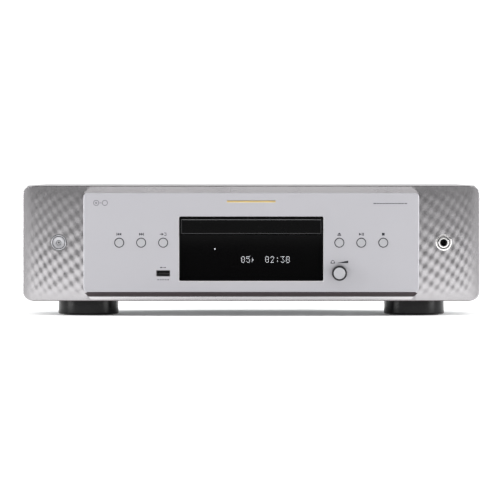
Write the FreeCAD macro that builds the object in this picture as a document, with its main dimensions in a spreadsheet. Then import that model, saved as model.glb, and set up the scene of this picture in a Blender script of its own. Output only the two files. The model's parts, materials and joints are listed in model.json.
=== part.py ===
import FreeCAD, Part
import os
import re

import Sketcher
from FreeCAD import Placement, Rotation, Vector

# A full-width disc player: steel case on four feet, a moulded front with a raised aluminium
# centre plate, a drawer mechanism in the middle and its circuit boards behind.
# Millimetres. +X to the right, +Y to the rear, +Z up; the origin is on the floor below the middle.

SIZES = [
    # The whole player
    ("width", 442, "front panel, side to side"),
    ("height", 126, "floor to top cover"),
    ("depth", 379, "knob face to the ends of the rear sockets"),
    ("panel_bottom", 14.5, "lower edge of the front panel above the floor"),
    ("knob_proud", 9, "knob in front of the centre plate"),
    ("plate_proud", 7, "centre plate in front of the outer panel, and its thickness"),
    ("socket_reach", 10, "rear sockets behind the rear panel"),
    ("overlap", 1, "how far cutting tools and joined solids run past a shared face"),
    # Front panel and centre plate
    ("panel_wall", 3, "moulded wall"),
    ("panel_rim", 12, "depth of the moulding, front to back"),
    ("panel_corner", 9.4, "corner radius seen from the front"),
    ("panel_edge", 1.2, "rounding of the front edge"),
    ("plate_width", 324, ""),
    ("plate_low", 23.4, "lower edge"),
    ("plate_high", 119, "upper edge"),
    ("plate_corner", 4, "corner radius"),
    ("plate_bevel", 0.8, "bright bevel of the front edge"),
    # Window and drawer opening
    ("window_width", 139.2, ""),
    ("window_low", 34, ""),
    ("window_high", 96.3, ""),
    ("window_corner", 1.5, ""),
    ("window_recess", 2.5, "window face behind the plate's face"),
    ("window_ledge", 2.8, "height of the sloped strip along the window's foot"),
    ("window_gap", 0.15, "around the window in the plate"),
    ("glass_width", 96, "display cell"),
    ("glass_low", 44, ""),
    ("glass_high", 66, ""),
    ("glass_depth", 5, ""),
    ("glass_gap", 1, "around the display cell in the panel"),
    ("board_thick", 1.6, "circuit boards"),
    ("board_margin", 16, "board edge beyond what it carries"),
    # Drawer
    ("drawer_gap", 0.5, "around the drawer's front in its opening"),
    ("tray_front_width", 136.2, ""),
    ("tray_front_low", 79.1, ""),
    ("tray_front_high", 93.9, ""),
    ("tray_front_thick", 4, ""),
    ("tray_front_proud", 1, "in front of the window's face"),
    ("tray_front_bevel", 0.5, ""),
    ("tray_width", 130, ""),
    ("tray_length", 165, ""),
    ("tray_floor", 82, "underside of the tray"),
    ("tray_thick", 6.5, ""),
    ("disc_seat", 60.4, "radius of the seat for a 120 mm disc"),
    ("disc_seat_deep", 2.4, ""),
    ("small_seat", 40.4, "radius of the seat for an 80 mm disc"),
    ("small_seat_deep", 1.2, "below the large seat"),
    ("disc_setback", 66, "disc centre behind the front end of the tray"),
    ("tray_slot", 18, "half width of the slot for spindle and pickup"),
    # Tray drive
    ("gear_module", 1, "pinion and tray rack"),
    ("pinion_teeth", 18, ""),
    ("fine_module", 0.6, "reduction gears"),
    ("wheel_teeth", 36, ""),
    ("small_teeth", 16, ""),
    ("tooth_share", 0.36, "tooth width on the pitch line, as a share of the pitch"),
    ("root_depth", 1.25, "tooth root below the pitch line, in modules"),
    ("tooth_gap", 0.2, "end of a gear to its neighbour"),
    ("wheel_thick", 3.5, "reduction gears"),
    ("wheel_gap", 0.7, "reduction gears below the rack"),
    ("flank_slope", 0.364, "tangent of the pressure angle"),
    ("rack_line", 54, "pitch line of the tray rack, from the middle"),
    ("rack_back", 59.5, "back of the tray rack"),
    ("rack_low", 79, "underside of the tray rack"),
    ("rack_teeth", 51, ""),
    ("rack_lead", 5, "rack teeth in front of the pinion"),
    ("gear_setback", 11.8, "gear row behind the front of the mechanism"),
    ("post_radius", 1.5, "gear posts"),
    ("post_gap", 1, "drive post below the tray"),
    ("gear_shaft", 1, "motor shafts, radius"),
    ("motor_shaft_length", 5, "in the motors"),
    ("running_fit", 0.06, "radial clearance of turning pieces"),
    ("pulley_radius", 9, ""),
    ("motor_pulley_radius", 3, ""),
    ("motor_reach", 35, "motor shaft beside the pulley gear"),
    ("belt_size", 1.2, ""),
    ("belt_groove", 1.4, "width of the pulleys' grooves"),
    ("belt_seat", 0.7, "height of each pulley lip"),
    ("belt_clear", 0.4, "pulleys above the shelf"),
    ("pulley_lip", 0.9, ""),
    ("motor_radius", 10.5, ""),
    ("motor_length", 14, ""),
    # Mechanism frame
    ("loader_gap", 4.7, "behind the front panel's wall"),
    ("loader_length", 160, ""),
    ("loader_wall", 2.5, ""),
    ("tray_side_gap", 1.5, "tray to side wall"),
    ("loader_low", 52, "underside"),
    ("loader_high", 93.5, "top of the side walls"),
    ("loader_floor", 2, ""),
    ("shelf_low", 66, "gear shelf"),
    ("shelf_thick", 2, ""),
    ("shelf_length", 20.8, ""),
    ("ledge_width", 6, "ledges that carry the tray"),
    ("ledge_thick", 1.7, ""),
    ("tab_reach", 3.5, "tabs over the tray's edges"),
    ("tab_length", 12, ""),
    ("tab_top", 2, "top of the tabs above the tray"),
    ("ear_bore", 1.7, "radius"),
    ("ear_front", 10, "front ears behind the frame's front"),
    ("ear_back", 26, "rear ears before the frame's end"),
    ("ear_length", 14, ""),
    ("motor_way", 2, "radius of the hole for the motor's shaft"),
    ("slide_gap", 0.3, "between sliding faces"),
    ("ear_reach", 9, "mounting ears outside the side walls"),
    ("damper_height", 5, ""),
    ("bracket_thick", 1.2, ""),
    ("bracket_foot", 14, ""),
    # Disc clamp
    ("bridge_width", 32, "front to back"),
    ("bridge_thick", 1.5, ""),
    ("clamp_radius", 17.5, "flange"),
    ("clamp_hub", 13.2, ""),
    ("clamp_gap", 0.6, "hub in the bridge hole"),
    ("clamp_bottom", 89.2, "clamp face above the floor"),
    ("clamp_flange", 1.6, ""),
    ("clamp_web", 1, ""),
    ("cone_gap", 0.8, "centring cone in the clamp"),
    # Traverse that carries spindle and pickup
    ("traverse_half", 48, "half width"),
    ("traverse_low", 71, ""),
    ("traverse_thick", 3, ""),
    ("traverse_front", 28, "front edge before the disc centre"),
    ("traverse_back", 89, "rear edge behind the disc centre"),
    ("pivot_back", 84, "pivot behind the disc centre"),
    ("pivot_radius", 2.5, ""),
    ("pivot_reach", 7, "trunnion length"),
    ("lift_pin_radius", 1.5, ""),
    ("lift_pin_length", 5.8, ""),
    ("lift_travel", 10, "how far the pin drops"),
    ("cam_x", 5, "pin position in the cam"),
    ("cam_thick", 2, ""),
    ("cam_clear", 0.35, "slot around the pin"),
    ("cam_low_end", 25, "cam plate left of the middle"),
    ("cam_high_end", 20, "cam plate right of the middle"),
    ("cam_top", 76, ""),
    ("spindle_motor_radius", 13, ""),
    ("spindle_motor_height", 11, ""),
    ("spindle_shaft", 1.1, "radius"),
    ("platter_radius", 14.5, ""),
    ("platter_top", 87, ""),
    ("platter_thick", 2.5, ""),
    ("platter_hub", 6, "radius"),
    ("hub_gap", 0.5, "hub above the traverse"),
    ("hub_way_gap", 1, "hub in the traverse's hole"),
    ("spindle_deep", 7.5, "shaft in the motor"),
    ("cone_radius", 7.4, "centring cone"),
    ("cone_top", 88.4, ""),
    ("cone_slope", 1.2, ""),
    ("rail_x", 22, "sled rails from the middle"),
    ("rail_radius", 1.5, ""),
    ("rail_z", 67, ""),
    ("rail_front", 13.5, "rail start behind the disc centre"),
    ("rail_short", 6.4, "rail end before the traverse's edge"),
    ("rail_holder", 2.6, ""),
    ("eye_half", 3, "sled eyes and rail holders, half width"),
    ("sled_half", 18, "sled half width between the rails"),
    ("sled_front", 17, "sled front behind the disc centre"),
    ("sled_length", 25, ""),
    ("sled_low", 61, ""),
    ("sled_high", 79, ""),
    ("lens_back", 22, "lens centre behind the disc centre at the first track"),
    ("lens_radius", 2.4, ""),
    ("lens_top", 84.6, ""),
    ("lens_length", 4, ""),
    ("lens_travel", 0.5, "focus travel each way"),
    ("guard_radius", 5, "ring around the lens"),
    ("guard_drop", 1.6, "ring below the lens"),
    ("sled_module", 0.8, ""),
    ("sled_gear_teeth", 20, ""),
    ("sled_line", 29, "pitch line of the sled rack"),
    ("sled_rack_teeth", 17, ""),
    ("sled_gear_back", 57, "sled gear behind the disc centre"),
    ("sled_motor_radius", 8, ""),
    ("sled_motor_height", 11, ""),
    ("sled_gear_half", 2, "half its thickness"),
    ("hanger_half", 4, "sled motor bracket"),
    ("hanger_thick", 2, ""),
    # Keys
    ("key_row", 71, "height of the keys' centres"),
    ("key_first", 85, "nearest key to the middle"),
    ("key_pitch", 21.2, ""),
    ("key_radius", 4.1, ""),
    ("key_gap", 0.5, "around a key in its hole"),
    ("key_proud", 0.9, ""),
    ("key_travel", 0.8, ""),
    ("key_edge", 0.4, ""),
    ("switch_gap", 0.1, "pressed key to its switch"),
    ("key_flange", 5.6, "radius of the collar behind the panel"),
    ("key_stem", 1.6, ""),
    ("collar_thick", 1, ""),
    ("switch_side", 6, ""),
    ("switch_depth", 3.2, ""),
    ("key_board_gap", 7.5, "key boards behind the panel's wall"),
    ("power_x", 186, ""),
    ("power_radius", 7.4, ""),
    ("power_proud", 1.5, ""),
    ("power_travel", 1, ""),
    ("power_lamp", 2.3, "radius of the lamp window in the power key"),
    # Level knob, sockets
    ("knob_z", 41.6, ""),
    ("knob_radius", 7.25, ""),
    ("knob_edge", 0.9, ""),
    ("knob_gap", 0.6, "knob to plate"),
    ("shaft_radius", 3, ""),
    ("shaft_gap", 1, "around the knob's shaft"),
    ("knob_bore_deep", 6, ""),
    ("control_side", 17, "level control body"),
    ("usb_z", 41.4, ""),
    ("usb_width", 13.1, "shell outside"),
    ("usb_height", 5.7, ""),
    ("usb_wall", 0.3, ""),
    ("usb_depth", 18, ""),
    ("usb_tongue", 1.8, ""),
    ("usb_tongue_half", 5.5, "half width"),
    ("usb_back", 1, ""),
    ("socket_fit", 0.1, "sockets in their holes"),
    ("jack_x", 186, ""),
    ("jack_ring", 7.75, "radius of the bright ring"),
    ("jack_ring_bore", 6.3, ""),
    ("jack_ring_proud", 1.6, ""),
    ("jack_bush", 5.8, ""),
    ("jack_bore", 3.2, "for a 6.35 mm plug"),
    ("jack_depth", 33, ""),
    ("jack_shoulder", 3, "socket body around the bush"),
    # Case
    ("case_half", 217.5, "half width over the top cover"),
    ("cover_wall", 1, ""),
    ("cover_bend", 2.4, ""),
    ("chassis_wall", 1.2, ""),
    ("chassis_flange", 40, ""),
    ("vent_width", 3, ""),
    ("vent_length", 34, ""),
    ("vent_pitch", 9, ""),
    ("vents", 12, "in each row"),
    # Feet
    ("foot_x", 159, "front feet, from the middle"),
    ("rear_foot_x", 167.5, "rear feet, set wider"),
    ("foot_radius", 29.5, ""),
    ("foot_edge", 1.6, ""),
    ("foot_draft", 0.8, "narrower at the top"),
    ("foot_gap", 1.2, "behind the front panel"),
    ("rear_foot_back", 45, "rear feet before the rear panel"),
    ("foot_well", 9, "radius of the screw well"),
    ("pad_inner", 12, ""),
    ("pad_outer", 24, ""),
    ("pad_depth", 1.6, ""),
    ("pad_stands", 0.8, "pad below the foot's shell"),
    ("screw_head", 3.6, ""),
    ("screw_head_high", 1.8, ""),
    ("screw_shank", 1.5, ""),
    ("screw_length", 9, ""),
    ("thread_gap", 0.05, "around a screw in its hole"),
    ("screw_inset", 8, "screw to the sheet's edge"),
    ("side_screw_front", 40, "behind the front moulding"),
    ("side_screw_back", 30, "before the rear panel"),
    ("rear_screw_inset", 20, ""),
    # Boards, power supply
    ("board_rise", 8, "boards above the chassis floor"),
    ("board_inset", 14, "boards to the case's sides"),
    ("supply_back", 18, "supply board to the rear panel"),
    ("main_back", 4, "main board to the rear panel"),
    ("board_post", 3, "radius"),
    ("post_inset", 5, "posts to the boards' edges"),
    ("core_width", 66, ""),
    ("core_depth", 34, ""),
    ("core_height", 56, ""),
    ("winding_depth", 52, ""),
    ("capacitor_radius", 11, ""),
    ("capacitor_height", 32, ""),
    ("supply_width", 110, ""),
    ("supply_depth", 100, ""),
    ("main_width", 185, ""),
    ("main_depth", 146, ""),
    ("fins", 7, ""),
    ("fin_height", 36, ""),
    ("fin_depth", 18, ""),
    ("fin_thick", 3, ""),
    ("fin_span", 55, "first fin to last"),
    # Rear sockets
    ("phono_z", 62, ""),
    ("phono_sleeve", 4.15, ""),
    ("phono_sleeve_bore", 3.4, ""),
    ("phono_contact", 1.65, ""),
    ("phono_pitch", 18, ""),
    ("line_x", 150, "line outputs"),
    ("digital_x", 112, "coaxial output"),
    ("optical_x", 84, ""),
    ("remote_x", 50, ""),
    ("inlet_x", -176, ""),
    ("inlet_drop", 10, "below the phono sockets"),
    ("phono_flange", 0.8, "thickness outside the rear panel"),
    ("phono_rim", 1, "flange beyond the sleeve"),
    ("phono_set", 1.5, "insulator behind the sleeve's end"),
    ("contact_deep", 4, "contact bore in the holder"),
    ("holder_half", 7.5, ""),
    ("holder_deep", 12, ""),
    ("socket_body", 16, "remote, optical and mains bodies behind the rear panel"),
    ("mini_bore", 1.8, "for a 3.5 mm plug"),
    ("mini_bush", 3, ""),
    ("mini_proud", 2, ""),
    ("mini_half", 5, "half width of the body"),
    ("mini_deep", 13, "bore in the body"),
    ("inlet_width", 18.5, "recess of the mains inlet"),
    ("inlet_height", 10.2, ""),
    ("pin_pitch", 8.6, "between the two pins"),
    ("pin_radius", 1.2, ""),
    ("pin_setback", 2, "pins behind the rear face"),
    ("inlet_wall", 1.9, ""),
    ("inlet_deep", 11, ""),
    ("inlet_proud", 1, ""),
    ("optical_side", 9.8, ""),
    ("optical_wall", 1.4, ""),
    ("optical_deep", 12, ""),
    ("optical_proud", 1.5, ""),
    ("flap_thick", 1, "leaf of the optical socket's flap"),
    ("flap_inset", 3.5, "middle of the flap behind the rear face"),
]

# Faces that several pieces share, front to back and upwards
KNOB_FACE = "(-depth / 2)"
PLATE_FACE = f"({KNOB_FACE} + knob_proud)"
WING_FACE = f"({PLATE_FACE} + plate_proud)"
WINDOW_FACE = f"({PLATE_FACE} + window_recess)"
WALL_BACK = f"({WING_FACE} + panel_wall)"
RIM_BACK = f"({WING_FACE} + panel_rim)"
KEY_BOARD = f"({WALL_BACK} + key_board_gap)"
GLASS_FACE = f"({WING_FACE} + slide_gap)"
GLASS_BACK = f"({GLASS_FACE} + glass_depth)"
TRAY_NOSE = f"({WINDOW_FACE} - tray_front_proud + tray_front_thick)"
DISC_Y = f"({TRAY_NOSE} + disc_setback)"
LOADER_Y = f"({WALL_BACK} + loader_gap)"
GEARS_Y = f"({LOADER_Y} + gear_setback)"
REAR_FACE = "(depth / 2 - socket_reach)"
FLOOR = "(panel_bottom + panel_wall)"
FLOOR_TOP = f"({FLOOR} + chassis_wall)"
BOARD_LOW = f"({FLOOR_TOP} + board_rise)"
BOARD_TOP = f"({BOARD_LOW} + board_thick)"
TRAY_TOP = "(tray_floor + tray_thick)"
LOADER_INNER = "(tray_width / 2 + tray_side_gap)"
LOADER_OUTER = f"({LOADER_INNER} + loader_wall)"
PINION_X = "(rack_line - gear_module * pinion_teeth / 2)"
PULLEY_X = f"({PINION_X} - fine_module * (wheel_teeth + small_teeth) / 2)"
MOTOR_X = f"({PULLEY_X} - motor_reach)"
SHELF_TOP = "(shelf_low + shelf_thick)"
GEAR_LEVEL = "(rack_low - wheel_thick - wheel_gap)"
SLED_GEAR_X = "(sled_line + sled_module * sled_gear_teeth / 2)"
PIVOT_Z = "(traverse_low + traverse_thick / 2)"

doc = FreeCAD.newDocument("disc_player")
sheet = doc.addObject("Spreadsheet::Sheet", "sizes")
for row, (alias, value, note) in enumerate(SIZES, start=1):
    sheet.set(f"A{row}", note)
    sheet.set(f"B{row}", str(value))
    sheet.setAlias(f"B{row}", alias)
doc.recompute()

NAMES = {alias for alias, value, note in SIZES}
TURNED = {
    "x": Rotation(Vector(0, 1, 0), 90),
    "y": Rotation(Vector(1, 0, 0), -90),
    "z": Rotation(),
}
PIECES = []


def bind(thing, prop, formula):
    """Tie a property to the sheet. Every word of the formula that names a size refers to it."""
    def refer(word):
        return "sizes." + word[0] if word[0] in NAMES else word[0]
    thing.setExpression(prop, re.sub(r"[a-z_]+", refer, str(formula)))


def place(thing, axis, x, y, z):
    thing.Placement = Placement(Vector(), TURNED[axis])
    for letter, formula in zip("xyz", (x, y, z)):
        bind(thing, f"Placement.Base.{letter}", formula)
    return thing


def block(name, x, y, z):
    """A box from its low to its high face along each axis."""
    box = doc.addObject("Part::Box", name)
    place(box, "z", x[0], y[0], z[0])
    for side, (low, high) in zip(("Length", "Width", "Height"), (x, y, z)):
        bind(box, side, f"({high}) - ({low})")
    return box


def rod(name, axis, centre, span, radius):
    """A cylinder along an axis; centre gives its other two coordinates in X, Y, Z order."""
    cylinder = doc.addObject("Part::Cylinder", name)
    where = list(centre)
    where.insert("xyz".index(axis), span[0])
    place(cylinder, axis, *where)
    bind(cylinder, "Height", f"({span[1]}) - ({span[0]})")
    bind(cylinder, "Radius", radius)
    return cylinder


def fused(name, solids):
    union = doc.addObject("Part::MultiFuse", name)
    union.Shapes = solids
    union.Refine = True
    return union


def cut(name, base, tools):
    """base less every tool."""
    result = doc.addObject("Part::Cut", name)
    result.Base = base
    result.Tool = tools[0] if len(tools) == 1 else fused(name + "_holes", tools)
    return result


def draw(body, plane, offset, corners):
    """A closed outline on one of the body's own planes, each corner placed by two formulas."""
    sketch = body.newObject("Sketcher::SketchObject", body.Name + "_outline")
    support = next(item for item in body.Origin.OriginFeatures if item.Role == plane)
    sketch.AttachmentSupport = [(support, "")]
    sketch.MapMode = "FlatFace"
    bind(sketch, "AttachmentOffset.Base.z", offset)
    count = len(corners)
    start = [Rotation(Vector(0, 0, 1), 360 * n / count).multVec(Vector(10, 0, 0)) for n in range(count)]
    sketch.addGeometry([Part.LineSegment(start[n], start[(n + 1) % count]) for n in range(count)])
    rules = [Sketcher.Constraint("Coincident", n, 2, (n + 1) % count, 1) for n in range(count)]
    for n, point in enumerate(start):
        rules.append(Sketcher.Constraint("DistanceX", -1, 1, n, 1, point.x))
        rules.append(Sketcher.Constraint("DistanceY", -1, 1, n, 1, point.y))
    sketch.addConstraint(rules)
    for n, (across, up) in enumerate(corners):
        bind(sketch, f"Constraints[{count + 2 * n}]", across)
        bind(sketch, f"Constraints[{count + 2 * n + 1}]", up)
    return sketch


def extruded(name, plane, corners, low, high):
    """A body with one outline carried from low to high along the plane's axis."""
    body = doc.addObject("PartDesign::Body", name)
    pad(body, plane, corners, low, high)
    return body


def pad(body, plane, corners, low, high):
    offset = f"-({high})" if plane == "XZ_Plane" else low
    sketch = draw(body, plane, offset, corners)
    feature = body.newObject("PartDesign::Pad", body.Name + "_pad")
    feature.Profile = sketch
    bind(feature, "Length", f"({high}) - ({low})")
    return feature


def turned(name, axis, centre, corners):
    """A body turned about an axis; each corner is a radius and a place along the axis."""
    body = doc.addObject("PartDesign::Body", name)
    feature = body.newObject("PartDesign::Revolution", name + "_turn")
    feature.Profile = draw(body, "XZ_Plane", "0", corners)
    feature.ReferenceAxis = (feature.Profile[0], ["V_Axis"])
    feature.Angle = 360
    where = list(centre)
    where.insert("xyz".index(axis), "0")
    return place(body, axis, *where)


def finish_edges(body, kind, prop, size, chosen):
    """Fillet or chamfer the edges of the body's last feature that chosen(edge) picks."""
    doc.recompute()
    base = body.Tip
    names = [f"Edge{n}" for n, edge in enumerate(base.Shape.Edges, start=1) if chosen(edge)]
    feature = body.newObject(kind, body.Name + "_edges")
    feature.Base = (base, names)
    bind(feature, prop, size)
    return feature


def round_edges(body, radius, chosen):
    return finish_edges(body, "PartDesign::Fillet", "Radius", radius, chosen)


def bevel_edges(body, size, chosen):
    return finish_edges(body, "PartDesign::Chamfer", "Size", size, chosen)


def along_y(edge):
    box = edge.BoundBox
    return box.YLength > 0.01 and box.XLength < 0.01 and box.ZLength < 0.01


def in_front(body):
    """Picks the edges that lie in the body's foremost plane."""
    doc.recompute()
    front = body.Tip.Shape.BoundBox.YMin
    return lambda edge: edge.BoundBox.YMax < front + 0.01


def rectangle(x, up):
    return [(x[0], up[0]), (x[1], up[0]), (x[1], up[1]), (x[0], up[1])]


def rounded_block(name, x, y, z, radius):
    """A box whose edges along Y are rounded."""
    body = extruded(name, "XZ_Plane", rectangle(x, z), *y)
    round_edges(body, radius, along_y)
    return body


def both_sides(low, high):
    """The same span right and left of the middle."""
    return [(low, high), (f"-({high})", f"-({low})")]


def middle(half):
    return (f"-({half})", half)


def add_teeth(body, pitch_radius, module, count, low, high):
    """Straight-flanked teeth around the body's axis."""
    waist = f"tooth_share * pi * {module} / 2"
    root = f"{pitch_radius} - root_depth * {module}"
    foot = f"{waist} + root_depth * {module} * flank_slope"
    tip = f"{waist} - {module} * flank_slope"
    corners = [
        (f"{root} - {module} / 2", f"-({foot})"),
        (root, f"-({foot})"),
        (f"{pitch_radius} + {module}", f"-({tip})"),
        (f"{pitch_radius} + {module}", tip),
        (root, foot),
        (f"{root} - {module} / 2", foot),
    ]
    tooth = pad(body, "XY_Plane", corners, low, high)
    ring = body.newObject("PartDesign::PolarPattern", body.Name + "_teeth")
    ring.Originals = [tooth]
    ring.Axis = (tooth.Profile[0], ["N_Axis"])
    ring.Angle = 360
    bind(ring, "Occurrences", count)
    body.Tip = ring
    return ring


def rack(name, line, back, module, count, first, low, high):
    """A straight row of teeth along Y. Its teeth point from the back plane to the pitch line."""
    side = 1 if back.startswith("rack") else -1
    waist = f"tooth_share * pi * {module} / 2"
    root = f"{line} + {side} * root_depth * {module}"
    tip = f"{line} - {side} * {module}"
    foot_half = f"{waist} + root_depth * {module} * flank_slope"
    tip_half = f"{waist} - {module} * flank_slope"
    pitch = f"pi * {module}"
    body = extruded(name, "XY_Plane", [
        (back, f"{first} - {pitch}"),
        (root, f"{first} - {pitch}"),
        (root, f"{first} + {count} * {pitch}"),
        (back, f"{first} + {count} * {pitch}"),
    ], low, high)
    tooth = pad(body, "XY_Plane", [
        (f"{root} + {side} * {module} / 2", f"{first} - ({foot_half})"),
        (root, f"{first} - ({foot_half})"),
        (tip, f"{first} - ({tip_half})"),
        (tip, f"{first} + {tip_half}"),
        (root, f"{first} + {foot_half}"),
        (f"{root} + {side} * {module} / 2", f"{first} + {foot_half}"),
    ], low, high)
    row = body.newObject("PartDesign::LinearPattern", name + "_row")
    row.Originals = [tooth]
    row.Direction = (tooth.Profile[0], ["V_Axis"])
    bind(row, "Length", f"({count} - 1) * {pitch}")
    bind(row, "Occurrences", count)
    body.Tip = row
    return body


def piece(name, solid):
    """Name a finished sub-part, so that it is written out."""
    solid.Label = name
    PIECES.append(solid)
    return solid


def key_places():
    """Formulas for the six keys' X, left row then right row, with the names of the keys."""
    names = ("previous_key", "next_key", "input_key", "eject_key", "play_pause_key", "stop_key")
    steps = (-2, -1, 0, 0, 1, 2)
    signs = (-1, -1, -1, 1, 1, 1)
    return [(name, f"({sign} * key_first + {step} * key_pitch)")
            for name, sign, step in zip(names, signs, steps)]


def front_panel():
    """The moulded front: a shallow box open to the rear, with every opening of the front."""
    z = ("panel_bottom", "height")
    shell = rounded_block("front_shell", middle("width / 2"), (WING_FACE, RIM_BACK), z, "panel_corner")
    round_edges(shell, "panel_edge", in_front(shell))
    hollow = rounded_block("front_hollow", middle("width / 2 - panel_wall"),
                           (WALL_BACK, f"{RIM_BACK} + overlap"),
                           (FLOOR, "height - panel_wall"), "panel_corner - panel_wall")
    wall = (f"{WING_FACE} - overlap", f"{WALL_BACK} + overlap")
    holes = [hollow]
    holes.append(block("glass_hole", middle("glass_width / 2 + glass_gap"), wall,
                       ("glass_low - glass_gap", "glass_high + glass_gap")))
    holes.append(drawer_hole("panel_drawer_hole", wall))
    for name, x in key_places():
        holes.append(rod(name + "_way", "y", (x, "key_row"), wall, "key_radius + key_gap"))
    holes.append(rod("power_way", "y", ("-power_x", "key_row"), wall, "power_radius + key_gap"))
    holes.append(rod("jack_way", "y", ("jack_x", "key_row"), wall, "jack_bush + socket_fit"))
    holes.append(rod("shaft_way", "y", ("key_first", "knob_z"), wall, "shaft_radius + shaft_gap"))
    holes.append(usb_hole("panel_usb_hole", wall))
    return piece("front_panel", cut("front_panel", shell, holes))


def drawer_hole(name, y):
    """The way through for the drawer's front."""
    return block(name, middle("tray_front_width / 2 + drawer_gap"), y,
                 ("tray_front_low - drawer_gap", "tray_front_high + drawer_gap"))


def usb_hole(name, y):
    x = ("-key_first - usb_width / 2 - socket_fit", "-key_first + usb_width / 2 + socket_fit")
    return block(name, x, y, ("usb_z - usb_height / 2 - socket_fit", "usb_z + usb_height / 2 + socket_fit"))


def front_plate():
    """The raised aluminium plate with the window, the keys' holes and a bright bevel."""
    plate = rounded_block("plate_blank", middle("plate_width / 2"), (PLATE_FACE, WING_FACE),
                          ("plate_low", "plate_high"), "plate_corner")
    bevel_edges(plate, "plate_bevel", in_front(plate))
    through = (f"{PLATE_FACE} - overlap", f"{WING_FACE} + overlap")
    holes = [rounded_block("window_hole", middle("window_width / 2"), through,
                           ("window_low", "window_high"), "window_corner")]
    for name, x in key_places():
        holes.append(rod(name + "_hole", "y", (x, "key_row"), through, "key_radius + key_gap"))
    holes.append(rod("shaft_hole", "y", ("key_first", "knob_z"), through, "shaft_radius + shaft_gap"))
    holes.append(usb_hole("plate_usb_hole", through))
    return piece("front_plate", cut("front_plate", plate, holes))


def display_window():
    """The black window: a slab with a sloped strip along its foot and the drawer's opening."""
    slab_y = (WINDOW_FACE, WING_FACE)
    half = "window_width / 2 - window_gap"
    slab = rounded_block("window_slab", middle(half), slab_y,
                         ("window_low + window_gap", "window_high - window_gap"), "window_corner")
    low = "window_low + window_gap"
    lip = f"{PLATE_FACE} + 0.6"
    ledge = extruded("window_ledge", "YZ_Plane", [
        (lip, low), (f"{WINDOW_FACE} + 0.2", low),
        (f"{WINDOW_FACE} + 0.2", f"{low} + window_ledge"), (WINDOW_FACE, f"{low} + window_ledge"),
    ], f"-({half} - window_corner)", f"{half} - window_corner")
    body = fused("window_body", [slab, ledge])
    hole = drawer_hole("window_drawer_hole", (f"{WINDOW_FACE} - overlap", f"{WING_FACE} + overlap"))
    return piece("display_window", cut("display_window", body, [hole]))


def display_cell():
    """The display cell, standing in the panel's opening just behind the window."""
    y = (GLASS_FACE, GLASS_BACK)
    piece("display_cell", block("display_cell", middle("glass_width / 2"), y, ("glass_low", "glass_high")))


def tray():
    """The drawer: a plate with the disc seats, a slot open to the rear and a rack below."""
    y = (TRAY_NOSE, f"{TRAY_NOSE} + tray_length")
    plate = block("tray_plate", middle("tray_width / 2"), y, ("tray_floor", TRAY_TOP))
    seat = f"{TRAY_TOP} - disc_seat_deep"
    holes = [
        rod("disc_seat", "z", ("0", DISC_Y), (seat, f"{TRAY_TOP} + overlap"), "disc_seat"),
        rod("small_seat", "z", ("0", DISC_Y), (f"{seat} - small_seat_deep", f"{TRAY_TOP} + overlap"),
            "small_seat"),
        rod("slot_nose", "z", ("0", DISC_Y), ("tray_floor - overlap", f"{TRAY_TOP} + overlap"), "tray_slot"),
        block("slot", middle("tray_slot"), (DISC_Y, f"{y[1]} + overlap"),
              ("tray_floor - overlap", f"{TRAY_TOP} + overlap")),
    ]
    for side, x in zip(("right", "left"), both_sides("disc_seat - 20", "disc_seat - 2")):
        holes.append(block(f"{side}_finger_way", x,
                           (f"{DISC_Y} - disc_seat - 3", f"{DISC_Y} - disc_seat + 24"),
                           (seat, f"{TRAY_TOP} + overlap")))
    moulding = cut("tray_moulding", plate, holes)
    teeth = rack("tray_rack", "rack_line", "rack_back", "gear_module", "rack_teeth",
                 f"({GEARS_Y} - pi * gear_module * (rack_lead + 0.5))", "rack_low", "tray_floor")
    piece("disc_tray", fused("disc_tray", [moulding, teeth]))
    face = (f"{TRAY_NOSE} - tray_front_thick", TRAY_NOSE)
    front = extruded("tray_front", "XZ_Plane",
                     rectangle(middle("tray_front_width / 2"), ("tray_front_low", "tray_front_high")), *face)
    bevel_edges(front, "tray_front_bevel", in_front(front))
    piece("tray_front", front)


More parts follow.
